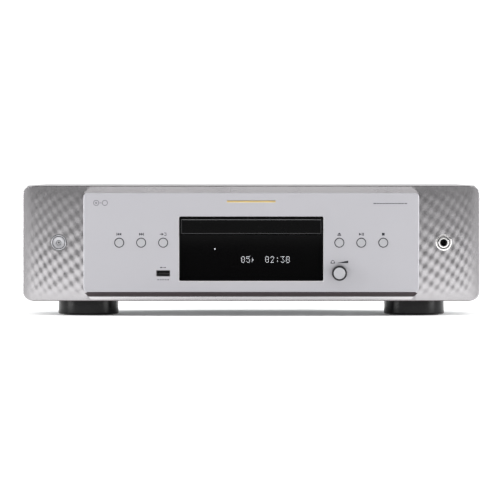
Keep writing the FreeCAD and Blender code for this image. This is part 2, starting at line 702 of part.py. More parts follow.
def tray_gears():
    """Pinion with its wheel, and the pulley gear that drives it, each on a post of the shelf."""
    bore = "post_radius + running_fit"
    wheel = "fine_module * wheel_teeth / 2"
    small = "fine_module * small_teeth / 2"
    pinion = "gear_module * pinion_teeth / 2"
    low = GEAR_LEVEL
    top = "tray_floor - post_gap / 2"
    drive = turned("drive_gear", "z", (PINION_X, GEARS_Y), [
        (bore, low), (f"{wheel} - root_depth * fine_module", low),
        (f"{wheel} - root_depth * fine_module", f"{low} + wheel_thick"),
        (f"{pinion} - root_depth * gear_module", f"{low} + wheel_thick"),
        (f"{pinion} - root_depth * gear_module", top), (bore, top),
    ])
    add_teeth(drive, f"({wheel})", "fine_module", "wheel_teeth", low, f"{low} + wheel_thick")
    add_teeth(drive, f"({pinion})", "gear_module", "pinion_teeth", "rack_low + tooth_gap", top)
    piece("drive_gear", drive)
    belt = f"({SHELF_TOP} + belt_clear)"
    belt_end = f"{belt} + 2 * belt_seat + belt_groove"
    pulley = turned("pulley_gear", "z", (PULLEY_X, GEARS_Y), [
        (bore, belt), ("pulley_radius + pulley_lip", belt), ("pulley_radius", f"{belt} + belt_seat"),
        ("pulley_radius", f"{belt} + belt_seat + belt_groove"), ("pulley_radius + pulley_lip", belt_end),
        (f"{small} - root_depth * fine_module", belt_end),
        (f"{small} - root_depth * fine_module", f"{low} + wheel_thick"), (bore, f"{low} + wheel_thick"),
    ])
    add_teeth(pulley, f"({small})", "fine_module", "small_teeth", belt_end, f"{low} + wheel_thick")
    half_tooth = Rotation(Vector(0, 0, 1), 180 / int(sheet.small_teeth))
    pulley.Placement = Placement(pulley.Placement.Base, half_tooth)
    piece("pulley_gear", pulley)
    lower_end = f"{SHELF_TOP} - motor_shaft_length"
    motor_pulley = turned("motor_pulley", "z", (MOTOR_X, GEARS_Y), [
        ("0", lower_end), ("gear_shaft", lower_end), ("gear_shaft", belt),
        ("motor_pulley_radius + pulley_lip", belt), ("motor_pulley_radius", f"{belt} + belt_seat"),
        ("motor_pulley_radius", f"{belt} + belt_seat + belt_groove"),
        ("motor_pulley_radius + pulley_lip", belt_end), ("0", belt_end),
    ])
    piece("motor_pulley", motor_pulley)
    can = rod("motor_can", "z", (MOTOR_X, GEARS_Y), ("shelf_low - motor_length", "shelf_low"),
              "motor_radius")
    way = rod("motor_way", "z", (MOTOR_X, GEARS_Y), (f"{lower_end} - slide_gap", SHELF_TOP),
              "gear_shaft + running_fit")
    piece("loading_motor", cut("loading_motor", can, [way]))
    drive_belt(belt)


def drive_belt(level):
    """A square belt around both pulleys: the hull of two discs, less the same shape inside."""
    z = (f"{level} + belt_seat + (belt_groove - belt_size) / 2",
         f"{level} + belt_seat + (belt_groove + belt_size) / 2")
    shapes = []
    for name, extra in (("belt_outside", "belt_size"), ("belt_inside", "0.05")):
        big = f"(pulley_radius + {extra})"
        little = f"(motor_pulley_radius + {extra})"
        lean = f"({big} - {little}) / motor_reach"
        rise = f"sqrt(1 - ({lean}) ^ 2)"
        run = extruded(name + "_run", "XY_Plane", [
            (f"{PULLEY_X} - {big} * {lean}", f"{GEARS_Y} + {big} * {rise}"),
            (f"{MOTOR_X} - {little} * {lean}", f"{GEARS_Y} + {little} * {rise}"),
            (f"{MOTOR_X} - {little} * {lean}", f"{GEARS_Y} - {little} * {rise}"),
            (f"{PULLEY_X} - {big} * {lean}", f"{GEARS_Y} - {big} * {rise}"),
        ], *z)
        shapes.append(fused(name, [
            run,
            rod(name + "_big", "z", (PULLEY_X, GEARS_Y), z, big),
            rod(name + "_little", "z", (MOTOR_X, GEARS_Y), z, little),
        ]))
    piece("drive_belt", cut("drive_belt", shapes[0], shapes[1:]))


def loader_frame():
    """The mechanism's base: two side walls on a floor ring, with shelf, ledges, posts and ears."""
    back = f"({LOADER_Y} + loader_length)"
    floor_z = ("loader_low", "loader_low + loader_floor")
    solids = []
    for x in both_sides(LOADER_INNER, LOADER_OUTER):
        solids.append(block("side_wall", x, (LOADER_Y, back), ("loader_low", "loader_high")))
    for x in both_sides(f"{LOADER_INNER} - ledge_width", LOADER_INNER):
        solids.append(block("ledge", x, (LOADER_Y, back),
                            ("tray_floor - slide_gap - ledge_thick", "tray_floor - slide_gap")))
    for x in both_sides(f"{LOADER_INNER} - tab_reach", LOADER_INNER):
        for y in (f"{LOADER_Y} + 6", f"{DISC_Y} + 70"):
            solids.append(block("tray_tab", x, (y, f"{y} + tab_length"),
                                (f"{TRAY_TOP} + slide_gap", f"{TRAY_TOP} + tab_top")))
    opening_x = "(traverse_half + 4)"
    ring_front = f"({DISC_Y} - traverse_front - 6)"
    ring_back = f"({DISC_Y} + traverse_back + 3)"
    for x in both_sides(opening_x, LOADER_INNER):
        solids.append(block("floor_side", x, (f"{LOADER_Y} + shelf_length", back), floor_z))
    solids.append(block("floor_front", middle(opening_x), (ring_front, f"{ring_front} + 6"), floor_z))
    solids.append(block("floor_back", middle(opening_x), (ring_back, back), floor_z))
    shelf = block("shelf", middle(LOADER_INNER), (LOADER_Y, f"{LOADER_Y} + shelf_length"),
                  ("shelf_low", SHELF_TOP))
    solids.append(shelf)
    for x in both_sides("traverse_half + pivot_reach - 5", "traverse_half + pivot_reach + 2.5"):
        y = (f"{DISC_Y} + pivot_back - 5", f"{DISC_Y} + pivot_back + 5")
        solids.append(block("pivot_post", x, y, ("loader_low", "rack_low - 0.6")))
    for x in both_sides(LOADER_OUTER, f"{LOADER_OUTER} + ear_reach"):
        for y in (f"{LOADER_Y} + ear_front", f"{back} - ear_back"):
            solids.append(block("ear", x, (y, f"{y} + ear_length"), floor_z))
    solids.append(rod("drive_post", "z", (PINION_X, GEARS_Y), (SHELF_TOP, "tray_floor - post_gap"),
                      "post_radius"))
    solids.append(rod("pulley_post", "z", (PULLEY_X, GEARS_Y), (SHELF_TOP, "rack_low - post_gap / 2"),
                      "post_radius"))
    body = fused("loader_body", solids)
    holes = [rod("motor_shaft_way", "z", (MOTOR_X, GEARS_Y),
                 ("shelf_low - overlap", f"{SHELF_TOP} + overlap"), "motor_way")]
    holes.append(rod("pivot_bore", "x", (f"{DISC_Y} + pivot_back", PIVOT_Z),
                     middle("traverse_half + pivot_reach + 0.5"), "pivot_radius + running_fit"))
    for x in (f"{LOADER_OUTER} + ear_reach / 2", f"-({LOADER_OUTER} + ear_reach / 2)"):
        for y in (f"{LOADER_Y} + ear_front + ear_length / 2", f"{back} - ear_back + ear_length / 2"):
            holes.append(rod("ear_hole", "z", (x, y),
                             ("loader_low - overlap", "loader_low + loader_floor + overlap"), "ear_bore"))
    piece("loader_frame", cut("loader_frame", body, holes))
    loader_supports(back)


def loader_supports(back):
    """Two folded brackets on the chassis floor and a rubber damper under each ear."""
    top = "loader_low - damper_height"
    rails = []
    for side in (1, -1):
        inner = f"{side} * ({LOADER_OUTER})"
        web = f"{side} * ({LOADER_OUTER} + bracket_thick)"
        shelf_end = f"{side} * ({LOADER_OUTER} + ear_reach)"
        foot_end = f"{side} * ({LOADER_OUTER} + bracket_foot)"
        rails.append(extruded("bracket", "XZ_Plane", [
            (inner, FLOOR_TOP), (foot_end, FLOOR_TOP), (foot_end, f"{FLOOR_TOP} + bracket_thick"),
            (web, f"{FLOOR_TOP} + bracket_thick"), (web, f"{top} - bracket_thick"),
            (shelf_end, f"{top} - bracket_thick"), (shelf_end, top), (inner, top),
        ], f"{LOADER_Y} + 6", f"{back} - 8"))
    piece("loader_brackets", fused("loader_brackets", rails))
    dampers = []
    for x in (f"{LOADER_OUTER} + ear_reach / 2", f"-({LOADER_OUTER} + ear_reach / 2)"):
        for y in (f"{LOADER_Y} + ear_front + ear_length / 2", f"{back} - ear_back + ear_length / 2"):
            dampers.append(rod("damper", "z", (x, y), (top, "loader_low"), "ear_reach / 2 - 0.2"))
    piece("loader_dampers", fused("loader_dampers", dampers))


def disc_clamp():
    """The bridge over the tray and the puck that hangs loose in its hole."""
    y = (f"{DISC_Y} - bridge_width / 2", f"{DISC_Y} + bridge_width / 2")
    bridge = block("bridge_plate", middle(LOADER_OUTER), y, ("loader_high", "loader_high + bridge_thick"))
    hole = rod("bridge_hole", "z", ("0", DISC_Y),
               ("loader_high - overlap", "loader_high + bridge_thick + overlap"),
               "clamp_hub + clamp_gap")
    piece("clamp_bridge", cut("clamp_bridge", bridge, [hole]))
    flange = "(loader_high + bridge_thick + slide_gap)"
    piece("disc_clamp", turned("disc_clamp", "z", ("0", DISC_Y), [
        ("cone_radius + cone_gap", "clamp_bottom"), ("clamp_hub", "clamp_bottom"), ("clamp_hub", flange),
        ("clamp_radius", flange), ("clamp_radius", f"{flange} + clamp_flange"),
        ("0", f"{flange} + clamp_flange"), ("0", f"{flange} - clamp_web"),
        ("cone_radius + cone_gap", f"{flange} - clamp_web"),
    ]))


def traverse():
    """The tilting base with its trunnions and lift pin, the spindle motor and two sled rails."""
    top = "traverse_low + traverse_thick"
    z = ("traverse_low", top)
    y = (f"{DISC_Y} - traverse_front", f"{DISC_Y} + traverse_back")
    plate = block("traverse_plate", middle("traverse_half"), y, z)
    solids = [plate]
    for x in both_sides("traverse_half - overlap", "traverse_half + pivot_reach"):
        solids.append(rod("trunnion", "x", (f"{DISC_Y} + pivot_back", PIVOT_Z), x, "pivot_radius"))
    solids.append(rod("lift_pin", "y", ("cam_x", PIVOT_Z), (f"{y[0]} - lift_pin_length", f"{y[0]} + overlap"),
                      "lift_pin_radius"))
    low = "rail_z - 2 * rail_radius"
    rail_start = f"({DISC_Y} + rail_front)"
    rail_end = f"({DISC_Y} + traverse_back - rail_short)"
    for x in both_sides("rail_x - eye_half", "rail_x + eye_half"):
        for rail_y in (rail_start, f"{rail_end} - rail_holder"):
            solids.append(block("rail_holder", x, (rail_y, f"{rail_y} + rail_holder"),
                                (low, "traverse_low + overlap")))
    body = fused("traverse_body", solids)
    holes = [block("sled_way", middle("rail_x + 2"),
                   (f"{rail_start} + rail_holder", f"{rail_end} - rail_holder"),
                   ("traverse_low - overlap", f"{top} + overlap")),
             rod("hub_way", "z", ("0", DISC_Y), ("traverse_low - overlap", f"{top} + overlap"),
                 "platter_hub + hub_way_gap")]
    rails = []
    for x in ("rail_x", "-rail_x"):
        span = (rail_start, rail_end)
        rails.append(rod("rail", "y", (x, "rail_z"), span, "rail_radius"))
        holes.append(rod("rail_bore", "y", (x, "rail_z"), span, "rail_radius"))
    piece("traverse_base", cut("traverse_base", body, holes))
    piece("sled_rails", fused("sled_rails", rails))
    can = rod("spindle_can", "z", ("0", DISC_Y), ("traverse_low - spindle_motor_height", "traverse_low"),
              "spindle_motor_radius")
    spindle_end = "(traverse_low - spindle_deep)"
    bore = rod("spindle_bore", "z", ("0", DISC_Y), (f"{spindle_end} - slide_gap", top),
               "spindle_shaft + running_fit")
    piece("spindle_motor", cut("spindle_motor", can, [bore]))
    piece("spindle_platter", turned("spindle_platter", "z", ("0", DISC_Y), [
        ("0", spindle_end), ("spindle_shaft", spindle_end), ("spindle_shaft", f"{top} + hub_gap"),
        ("platter_hub", f"{top} + hub_gap"), ("platter_hub", "platter_top - platter_thick"),
        ("platter_radius", "platter_top - platter_thick"),
        ("platter_radius", "platter_top"), ("cone_radius", "platter_top"),
        ("cone_radius - cone_slope", "cone_top"), ("0", "cone_top"),
    ]))
    sled()
    cam()


def sled():
    """The pickup sled on the two rails with its lens and rack, and the motor that moves it."""
    y = (f"{DISC_Y} + sled_front", f"{DISC_Y} + sled_front + sled_length")
    lens = ("0", f"{DISC_Y} + lens_back")
    body = block("sled_body", middle("sled_half"), y, ("sled_low", "sled_high"))
    solids = [body]
    for x in both_sides("sled_half - overlap", "rail_x + eye_half"):
        solids.append(block("sled_eye", x, (f"{y[0]} + 2", f"{y[1]} - 2"),
                            ("rail_z - eye_half", "rail_z + eye_half")))
    solids.append(rod("lens_guard", "z", lens, ("sled_high", "lens_top - guard_drop"), "guard_radius"))
    moulding = fused("sled_moulding", solids)
    bores = [rod("sled_bore", "y", (x, "rail_z"), (f"{y[0]} - overlap", f"{y[1]} + overlap"),
                 "rail_radius + running_fit")
             for x in ("rail_x", "-rail_x")]
    bores.append(rod("lens_seat", "z", lens, ("lens_top - lens_length - lens_travel - slide_gap", "lens_top"),
                     "lens_radius + running_fit"))
    block_cut = cut("sled_cut", moulding, bores)
    teeth = rack("sled_rack", "sled_line", "(rail_x + eye_half)", "sled_module", "sled_rack_teeth",
                 f"({DISC_Y} + sled_gear_back - pi * sled_module * 15.5)", "rail_z - 1.5", "rail_z + 1.5")
    piece("pickup_sled", fused("pickup_sled", [block_cut, teeth]))
    piece("pickup_lens", rod("pickup_lens", "z", lens, ("lens_top - lens_length", "lens_top"), "lens_radius"))
    gear_z = ("rail_z - sled_gear_half", "rail_z + sled_gear_half")
    centre = (SLED_GEAR_X, f"{DISC_Y} + sled_gear_back")
    radius = "(sled_module * sled_gear_teeth / 2)"
    shaft_end = f"{gear_z[0]} - motor_shaft_length"
    gear = turned("sled_gear", "z", centre, [
        ("0", shaft_end), ("gear_shaft", shaft_end), ("gear_shaft", gear_z[0]),
        (f"{radius} - root_depth * sled_module", gear_z[0]),
        (f"{radius} - root_depth * sled_module", gear_z[1]),
        ("0", gear_z[1]),
    ])
    add_teeth(gear, radius, "sled_module", "sled_gear_teeth", *gear_z)
    piece("sled_gear", gear)
    motor_top = "rail_z - sled_gear_half - 2 * slide_gap"
    can = rod("sled_can", "z", centre, (f"{motor_top} - sled_motor_height", motor_top), "sled_motor_radius")
    hanger = block("sled_hanger", (f"{SLED_GEAR_X} + sled_motor_radius + 1.2", "traverse_half"),
                   (f"{centre[1]} - hanger_half",
                    f"{centre[1]} + hanger_half"), (f"{motor_top} - hanger_thick", "traverse_low"))
    arm = block("sled_arm", (f"{SLED_GEAR_X} + hanger_half", "traverse_half"),
                (f"{centre[1]} - hanger_half", f"{centre[1]} + hanger_half"),
                (f"{motor_top} - hanger_thick", motor_top))
    way = rod("sled_shaft_way", "z", centre, (f"{shaft_end} - slide_gap", f"{motor_top} + overlap"),
              "gear_shaft + running_fit")
    piece("sled_motor", cut("sled_motor", fused("sled_motor_body", [can, hanger, arm]), [way]))


def cam():
    """The cam plate whose sloped slot lifts and lowers the front of the traverse."""
    front = f"({DISC_Y} - traverse_front - 2.5 - cam_thick)"
    y = (front, f"{front} + cam_thick")
    plate = block("cam_plate", ("-cam_low_end", "cam_high_end"), y,
                  ("loader_low + loader_floor + slide_gap", "cam_top"))
    reach = "(lift_travel + lift_pin_radius + cam_clear)"
    half = "((lift_pin_radius + cam_clear) * sqrt(2))"
    nose = "(lift_pin_radius + cam_clear)"
    slot = extruded("cam_slot", "XZ_Plane", [
        (f"cam_x + {nose}", f"{PIVOT_Z} + {nose} + {half}"),
        (f"cam_x - {reach}", f"{PIVOT_Z} - {reach} + {half}"),
        (f"cam_x - {reach}", f"{PIVOT_Z} - {reach} - {half}"),
        (f"cam_x + {nose}", f"{PIVOT_Z} + {nose} - {half}"),
    ], f"{front} - overlap", f"{front} + cam_thick + overlap")
    piece("cam_slider", cut("cam_slider", plate, [slot]))


def keys():
    """Six round keys, the power key with its lamp, and the switches behind them."""
    board = KEY_BOARD
    switch_face = f"({board} - switch_depth)"
    collar = f"({WALL_BACK} + 0.2)"
    switches = []
    for name, x in key_places():
        face = f"({PLATE_FACE} - key_proud)"
        piece(name, turned(name, "y", (x, "key_row"), [
            ("0", face), ("key_radius - key_edge", face), ("key_radius", f"{face} + key_edge"),
            ("key_radius", collar), ("key_flange", collar), ("key_flange", f"{collar} + collar_thick"),
            ("key_stem", f"{collar} + collar_thick"),
            ("key_stem", f"{switch_face} - key_travel - switch_gap"),
            ("0", f"{switch_face} - key_travel - switch_gap"),
        ]))
        switches.append(switch_block(x, switch_face, board))
    face = f"({WING_FACE} - power_proud)"
    power = turned("power_cap", "y", ("-power_x", "key_row"), [
        ("0", f"{face} + 0.9"), ("power_radius - 1.5", f"{face} + 0.5"), ("power_radius - 0.9", face),
        ("power_radius - 0.5", face), ("power_radius", f"{face} + 0.5"), ("power_radius", collar),
        ("power_radius + key_stem", collar), ("power_radius + key_stem", f"{collar} + collar_thick"),
        ("key_stem", f"{collar} + collar_thick"), ("key_stem", f"{switch_face} - power_travel - switch_gap"),
        ("0", f"{switch_face} - power_travel - switch_gap"),
    ])
    lamp_y = (f"{face} + 0.5", f"{face} + 3")
    lamp_way = rod("lamp_way", "y", ("-power_x", "key_row"), lamp_y, "power_lamp")
    piece("power_key", cut("power_key", power, [lamp_way]))
    piece("power_lamp", rod("power_lamp", "y", ("-power_x", "key_row"), lamp_y, "power_lamp"))
    switches.append(switch_block("-power_x", switch_face, board))
    piece("key_switches", fused("key_switches", switches))


def switch_block(x, face, back):
    half = "switch_side / 2"
    return block("switch", (f"{x} - {half}", f"{x} + {half}"), (face, back),
                 (f"key_row - {half}", f"key_row + {half}"))


def front_boards():
    """The boards behind the front: display, left and right keys, power key and headphones."""
    y = (KEY_BOARD, f"{KEY_BOARD} + board_thick")
    deep = (f"{y[0]} - overlap", f"{y[1]} + overlap")
    boards = [block("display_board", middle("glass_width / 2 + board_margin"),
                    (GLASS_BACK, f"{GLASS_BACK} + board_thick"),
                    ("glass_low - board_margin / 2", "rack_low - board_thick"))]
    for x in both_sides("key_first - 11", "key_first + 2 * key_pitch + board_margin"):
        boards.append(block("key_board", x, y, ("knob_z - control_side", "key_row + 12")))
    for x in both_sides("power_x - board_margin", "power_x + board_margin"):
        boards.append(block("end_board", x, y, ("key_row - board_margin", "key_row + board_margin")))
    holes = [usb_hole("board_usb_hole", deep),
             rod("board_jack_hole", "y", ("jack_x", "key_row"), deep, "jack_bush + jack_shoulder + 0.5")]
    piece("front_boards", cut("front_boards", fused("boards", boards), holes))


def level_control():
    """The knob on its shaft, and the control body that the shaft turns in."""
    at = ("key_first", "knob_z")
    back = f"({PLATE_FACE} - knob_gap)"
    knob = turned("knob_body", "y", at, [
        ("0", KNOB_FACE), ("knob_radius - knob_edge", KNOB_FACE), ("knob_radius", f"{KNOB_FACE} + knob_edge"),
        ("knob_radius", back), ("0", back),
    ])
    socket = rod("knob_bore", "y", at, (f"{back} - knob_bore_deep", f"{back} + overlap"), "shaft_radius")
    piece("level_knob", cut("level_knob", knob, [socket]))
    shaft_end = f"({KEY_BOARD} - board_thick)"
    piece("level_shaft", rod("level_shaft", "y", at, (f"{back} - knob_bore_deep", shaft_end), "shaft_radius"))
    half = "control_side / 2"
    can = block("control_can", (f"key_first - {half}", f"key_first + {half}"),
                (f"{WALL_BACK} + 0.4", KEY_BOARD),
                (f"knob_z - {half}", f"knob_z + {half}"))
    way = rod("shaft_bore", "y", at, (WALL_BACK, f"{shaft_end} + slide_gap"), "shaft_radius + running_fit")
    piece("level_control", cut("level_control", can, [way]))


def usb_socket():
    """The USB socket: a folded steel shell and the contact tongue in it."""
    y = (f"{PLATE_FACE} + 0.5", f"{PLATE_FACE} + 0.5 + usb_depth")
    outer_x = ("-key_first - usb_width / 2", "-key_first + usb_width / 2")
    outer = block("usb_outer", outer_x, y, ("usb_z - usb_height / 2", "usb_z + usb_height / 2"))
    inner = block("usb_inner", (f"{outer_x[0]} + usb_wall", f"{outer_x[1]} - usb_wall"),
                  (f"{PLATE_FACE} - overlap", f"{y[1]} - usb_back"),
                  ("usb_z - usb_height / 2 + usb_wall", "usb_z + usb_height / 2 - usb_wall"))
    piece("usb_shell", cut("usb_shell", outer, [inner]))
    piece("usb_tongue", block("usb_tongue", ("-key_first - usb_tongue_half", "-key_first + usb_tongue_half"),
                              (f"{y[0]} + usb_back", f"{y[1]} - usb_back"),
                              ("usb_z + socket_fit", "usb_z + socket_fit + usb_tongue")))


def headphone_socket():
    """The 6.35 mm socket: a threaded bush with its body behind, and the bright ring around it."""
    at = ("jack_x", "key_row")
    face = f"({WING_FACE} - jack_ring_proud)"
    piece("headphone_ring", turned("headphone_ring", "y", at, [
        ("jack_ring_bore", f"{face} + 0.3"), ("jack_ring_bore + 0.4", face), ("jack_ring - 0.4", face),
        ("jack_ring", f"{face} + 0.4"), ("jack_ring", WING_FACE), ("jack_ring_bore", WING_FACE),
    ]))
    body_face = f"({WALL_BACK} + 0.3)"
    piece("headphone_socket", turned("headphone_socket", "y", at, [
        ("jack_bore", f"{face} + 0.2"), ("jack_bush", f"{face} + 0.2"), ("jack_bush", body_face),
        ("jack_bush + jack_shoulder", body_face), ("jack_bush + jack_shoulder",
                                                   f"{WING_FACE} + jack_depth + 2"),
        ("0", f"{WING_FACE} + jack_depth + 2"), ("0", f"{WING_FACE} + jack_depth"),
        ("jack_bore", f"{WING_FACE} + jack_depth"),
    ]))


def case():
    """Folded chassis, rear panel and the top cover that wraps over both."""
    inside = "(case_half - cover_wall - 0.2)"
    chassis_y = (RIM_BACK, f"{REAR_FACE} - cover_wall")
    chassis = extruded("chassis_fold", "XZ_Plane", [
        (f"-{inside}", FLOOR), (inside, FLOOR), (inside, f"{FLOOR} + chassis_flange"),
        (f"{inside} - chassis_wall", f"{FLOOR} + chassis_flange"), (f"{inside} - chassis_wall", FLOOR_TOP),
        (f"-({inside} - chassis_wall)", FLOOR_TOP),
        (f"-({inside} - chassis_wall)", f"{FLOOR} + chassis_flange"),
        (f"-{inside}", f"{FLOOR} + chassis_flange"),
    ], *chassis_y)
    tongue = block("chassis_tongue", middle("width / 2 - panel_corner - 2"), (WALL_BACK, RIM_BACK),
                   (FLOOR, FLOOR_TOP))
    holes = [rod("foot_hole", "z", (x, y), (f"{FLOOR} - overlap", f"{FLOOR_TOP} + overlap"),
                 "screw_shank + thread_gap")
             for x, y in foot_places()]
    holes += vent_row("floor_vent", "60", f"{DISC_Y} + 120", (f"{FLOOR} - overlap", f"{FLOOR_TOP} + overlap"))
    holes += side_screw_holes("chassis_screw_hole")
    piece("bottom_chassis", cut("bottom_chassis", fused("chassis_body", [chassis, tongue] + board_posts()),
                                holes))
    cover = extruded("cover_fold", "XZ_Plane", [
        ("-case_half", f"{FLOOR} + 0.5"), ("-case_half", "height"), ("case_half", "height"),
        ("case_half", f"{FLOOR} + 0.5"), ("case_half - cover_wall", f"{FLOOR} + 0.5"),
        ("case_half - cover_wall", "height - cover_wall"),
        ("-(case_half - cover_wall)", "height - cover_wall"),
        ("-(case_half - cover_wall)", f"{FLOOR} + 0.5"),
    ], RIM_BACK, REAR_FACE)
    top = float(sheet.height) - float(sheet.cover_wall) / 2
    round_edges(cover, "cover_bend", lambda edge: along_y(edge) and edge.BoundBox.ZMin > top)
    slots = side_screw_holes("cover_screw_hole")
    for side in ("-150", "-90"):
        slots += vent_row("cover_vent", side, f"{REAR_FACE} - 70",
                          ("height - cover_wall - overlap", "height + overlap"))
    piece("top_cover", cut("top_cover", cover, slots))
    rear_panel(inside)


def vent_row(name, x, y, z):
    """A row of slots, side by side along Y."""
    return [block(name, (f"{x} - vent_length / 2", f"{x} + vent_length / 2"),
                  (f"{y} + {n} * vent_pitch / 2", f"{y} + {n} * vent_pitch / 2 + vent_width"), z)
            for n in range(int(sheet.vents))]


def rear_panel(inside):
    """The rear sheet with a hole for each socket."""
    y = (f"{REAR_FACE} - cover_wall", REAR_FACE)
    sheet_z = (FLOOR, "height - cover_wall")
    blank = block("rear_blank", middle(inside), y, sheet_z)
    deep = (f"{y[0]} - overlap", f"{REAR_FACE} + overlap")
    holes = [rod("phono_hole", "y", at, deep, "phono_sleeve + phono_rim + socket_fit")
             for at in phono_places()]
    holes += [rod("mini_hole", "y", at, deep, "mini_bush + socket_fit") for at in mini_places()]
    x, z = optical_place()
    half = "(optical_side / 2 + optical_wall + 2 * socket_fit)"
    holes.append(block("optical_hole", (f"{x} - {half}", f"{x} + {half}"), deep,
                       (f"{z} - {half}", f"{z} + {half}")))
    x, z = inlet_place()
    rim = "(inlet_wall + socket_fit)"
    holes.append(block("inlet_hole", (f"{x} - inlet_width / 2 - {rim}", f"{x} + inlet_width / 2 + {rim}"),
                       deep, (f"{z} - inlet_height / 2 - {rim}", f"{z} + inlet_height / 2 + {rim}")))
    piece("rear_panel", cut("rear_panel", blank, holes))


def phono_places():
    """Line outputs one above the other, and the coaxial digital output beside them."""
    return [("line_x", "phono_z"), ("line_x", "phono_z - phono_pitch"), ("digital_x", "phono_z")]


def mini_places():
    return [("remote_x", "phono_z"), ("remote_x", "phono_z - phono_pitch")]


def optical_place():
    return ("optical_x", "phono_z")


def inlet_place():
    return ("inlet_x", "phono_z - inlet_drop")


def rear_sockets():
    """Phono sleeves in their holders, two remote sockets, the optical output and the mains inlet."""
    inner = f"({REAR_FACE} - cover_wall)"
    flange_end = f"({REAR_FACE} + phono_flange)"
    tip = f"({REAR_FACE} + socket_reach)"
    sleeves = []
    holders = []
    for at in phono_places():
        outer = rod("sleeve", "y", at, (flange_end, tip), "phono_sleeve")
        core = rod("sleeve_core", "y", at, (REAR_FACE, f"{tip} + overlap"), "phono_sleeve_bore")
        sleeves.append(cut("phono_tube", outer, [core]))
        flange = rod("flange", "y", at, (inner, flange_end), "phono_sleeve + phono_rim")
        filler = rod("filler", "y", at, (inner, f"{tip} - phono_set"), "phono_sleeve_bore")
        box = block("holder", (f"{at[0]} - holder_half", f"{at[0]} + holder_half"),
                    (f"{inner} - holder_deep", inner), (f"{at[1]} - holder_half", f"{at[1]} + holder_half"))
        contact = rod("contact_bore", "y", at, (f"{inner} - contact_deep", tip), "phono_contact")
        holders.append(cut("holder_cut", fused("holder_body", [flange, filler, box]), [contact]))
    piece("phono_sleeves", fused("phono_sleeves", sleeves))
    piece("phono_holders", fused("phono_holders", holders))
    minis = []
    for at in mini_places():
        bush = rod("mini_bush", "y", at, (inner, f"{REAR_FACE} + mini_proud"), "mini_bush")
        box = block("mini_box", (f"{at[0]} - mini_half", f"{at[0]} + mini_half"),
                    (f"{inner} - socket_body", inner),
                    (f"{at[1]} - mini_half + 0.5", f"{at[1]} + mini_half - 0.5"))
        bore = rod("mini_bore", "y", at, (f"{inner} - mini_deep", f"{REAR_FACE} + mini_proud + overlap"),
                   "mini_bore")
        minis.append(cut("mini_socket", fused("mini_body", [bush, box]), [bore]))
    piece("remote_sockets", fused("remote_sockets", minis))
    optical_socket(inner)
    mains_inlet(inner)


def optical_socket(inner):
    """The optical output and the flap that a plug pushes in."""
    x, z = optical_place()
    half = "optical_side / 2"
    wall = f"({half} + optical_wall)"
    shell = block("optical_shell", (f"{x} - {wall}", f"{x} + {wall}"),
                  (f"{inner} - socket_body", f"{REAR_FACE} + optical_proud"),
                  (f"{z} - {wall}", f"{z} + {wall}"))
    hollow = block("optical_hollow", (f"{x} - {half}", f"{x} + {half}"),
                   (f"{inner} - optical_deep", f"{REAR_FACE} + optical_proud + overlap"),
                   (f"{z} - {half}", f"{z} + {half}"))
    piece("optical_socket", cut("optical_socket", shell, [hollow]))
    flap = "(optical_side / 2 - slide_gap)"
    span = (f"{x} - {flap}", f"{x} + {flap}")
    hinge = f"{z} + {flap} - flap_thick / 2"
    middle_y = f"{REAR_FACE} - flap_inset"
    leaf = block("flap_leaf", span, (f"{middle_y} - flap_thick / 2", f"{middle_y} + flap_thick / 2"),
                 (f"{z} - {flap}", hinge))
    barrel = rod("flap_barrel", "x", (middle_y, hinge), span, "flap_thick / 2")
    piece("optical_flap", fused("optical_flap", [leaf, barrel]))


def mains_inlet(inner):
    """A two-pin mains inlet set in the rear panel."""
    x, z = inlet_place()
    wide = "(inlet_width / 2 + inlet_wall)"
    high = "(inlet_height / 2 + inlet_wall)"
    shell = block("inlet_shell", (f"{x} - {wide}", f"{x} + {wide}"),
                  (f"{inner} - socket_body", f"{REAR_FACE} + inlet_proud"),
                  (f"{z} - {high}", f"{z} + {high}"))
    hollow = rounded_block("inlet_hollow", (f"{x} - inlet_width / 2", f"{x} + inlet_width / 2"),
                           (f"{inner} - inlet_deep", f"{REAR_FACE} + inlet_proud + overlap"),
                           (f"{z} - inlet_height / 2", f"{z} + inlet_height / 2"), "inlet_height / 2 - 0.4")
    pin_y = (f"{inner} - inlet_deep - overlap", f"{REAR_FACE} - pin_setback")
    pins = [rod("pin", "y", (f"{x} + {side} * pin_pitch / 2", z), pin_y, "pin_radius") for side in (-1, 1)]
    piece("mains_inlet", fused("mains_inlet", [cut("inlet_body", shell, [hollow])] + pins))


def foot_places():
    """Front feet just behind the front panel, rear feet nearer the rear panel."""
    front = f"({RIM_BACK} + foot_gap + foot_radius)"
    back = f"({REAR_FACE} - rear_foot_back)"
    return [("-foot_x", front), ("foot_x", front), ("-rear_foot_x", back), ("rear_foot_x", back)]


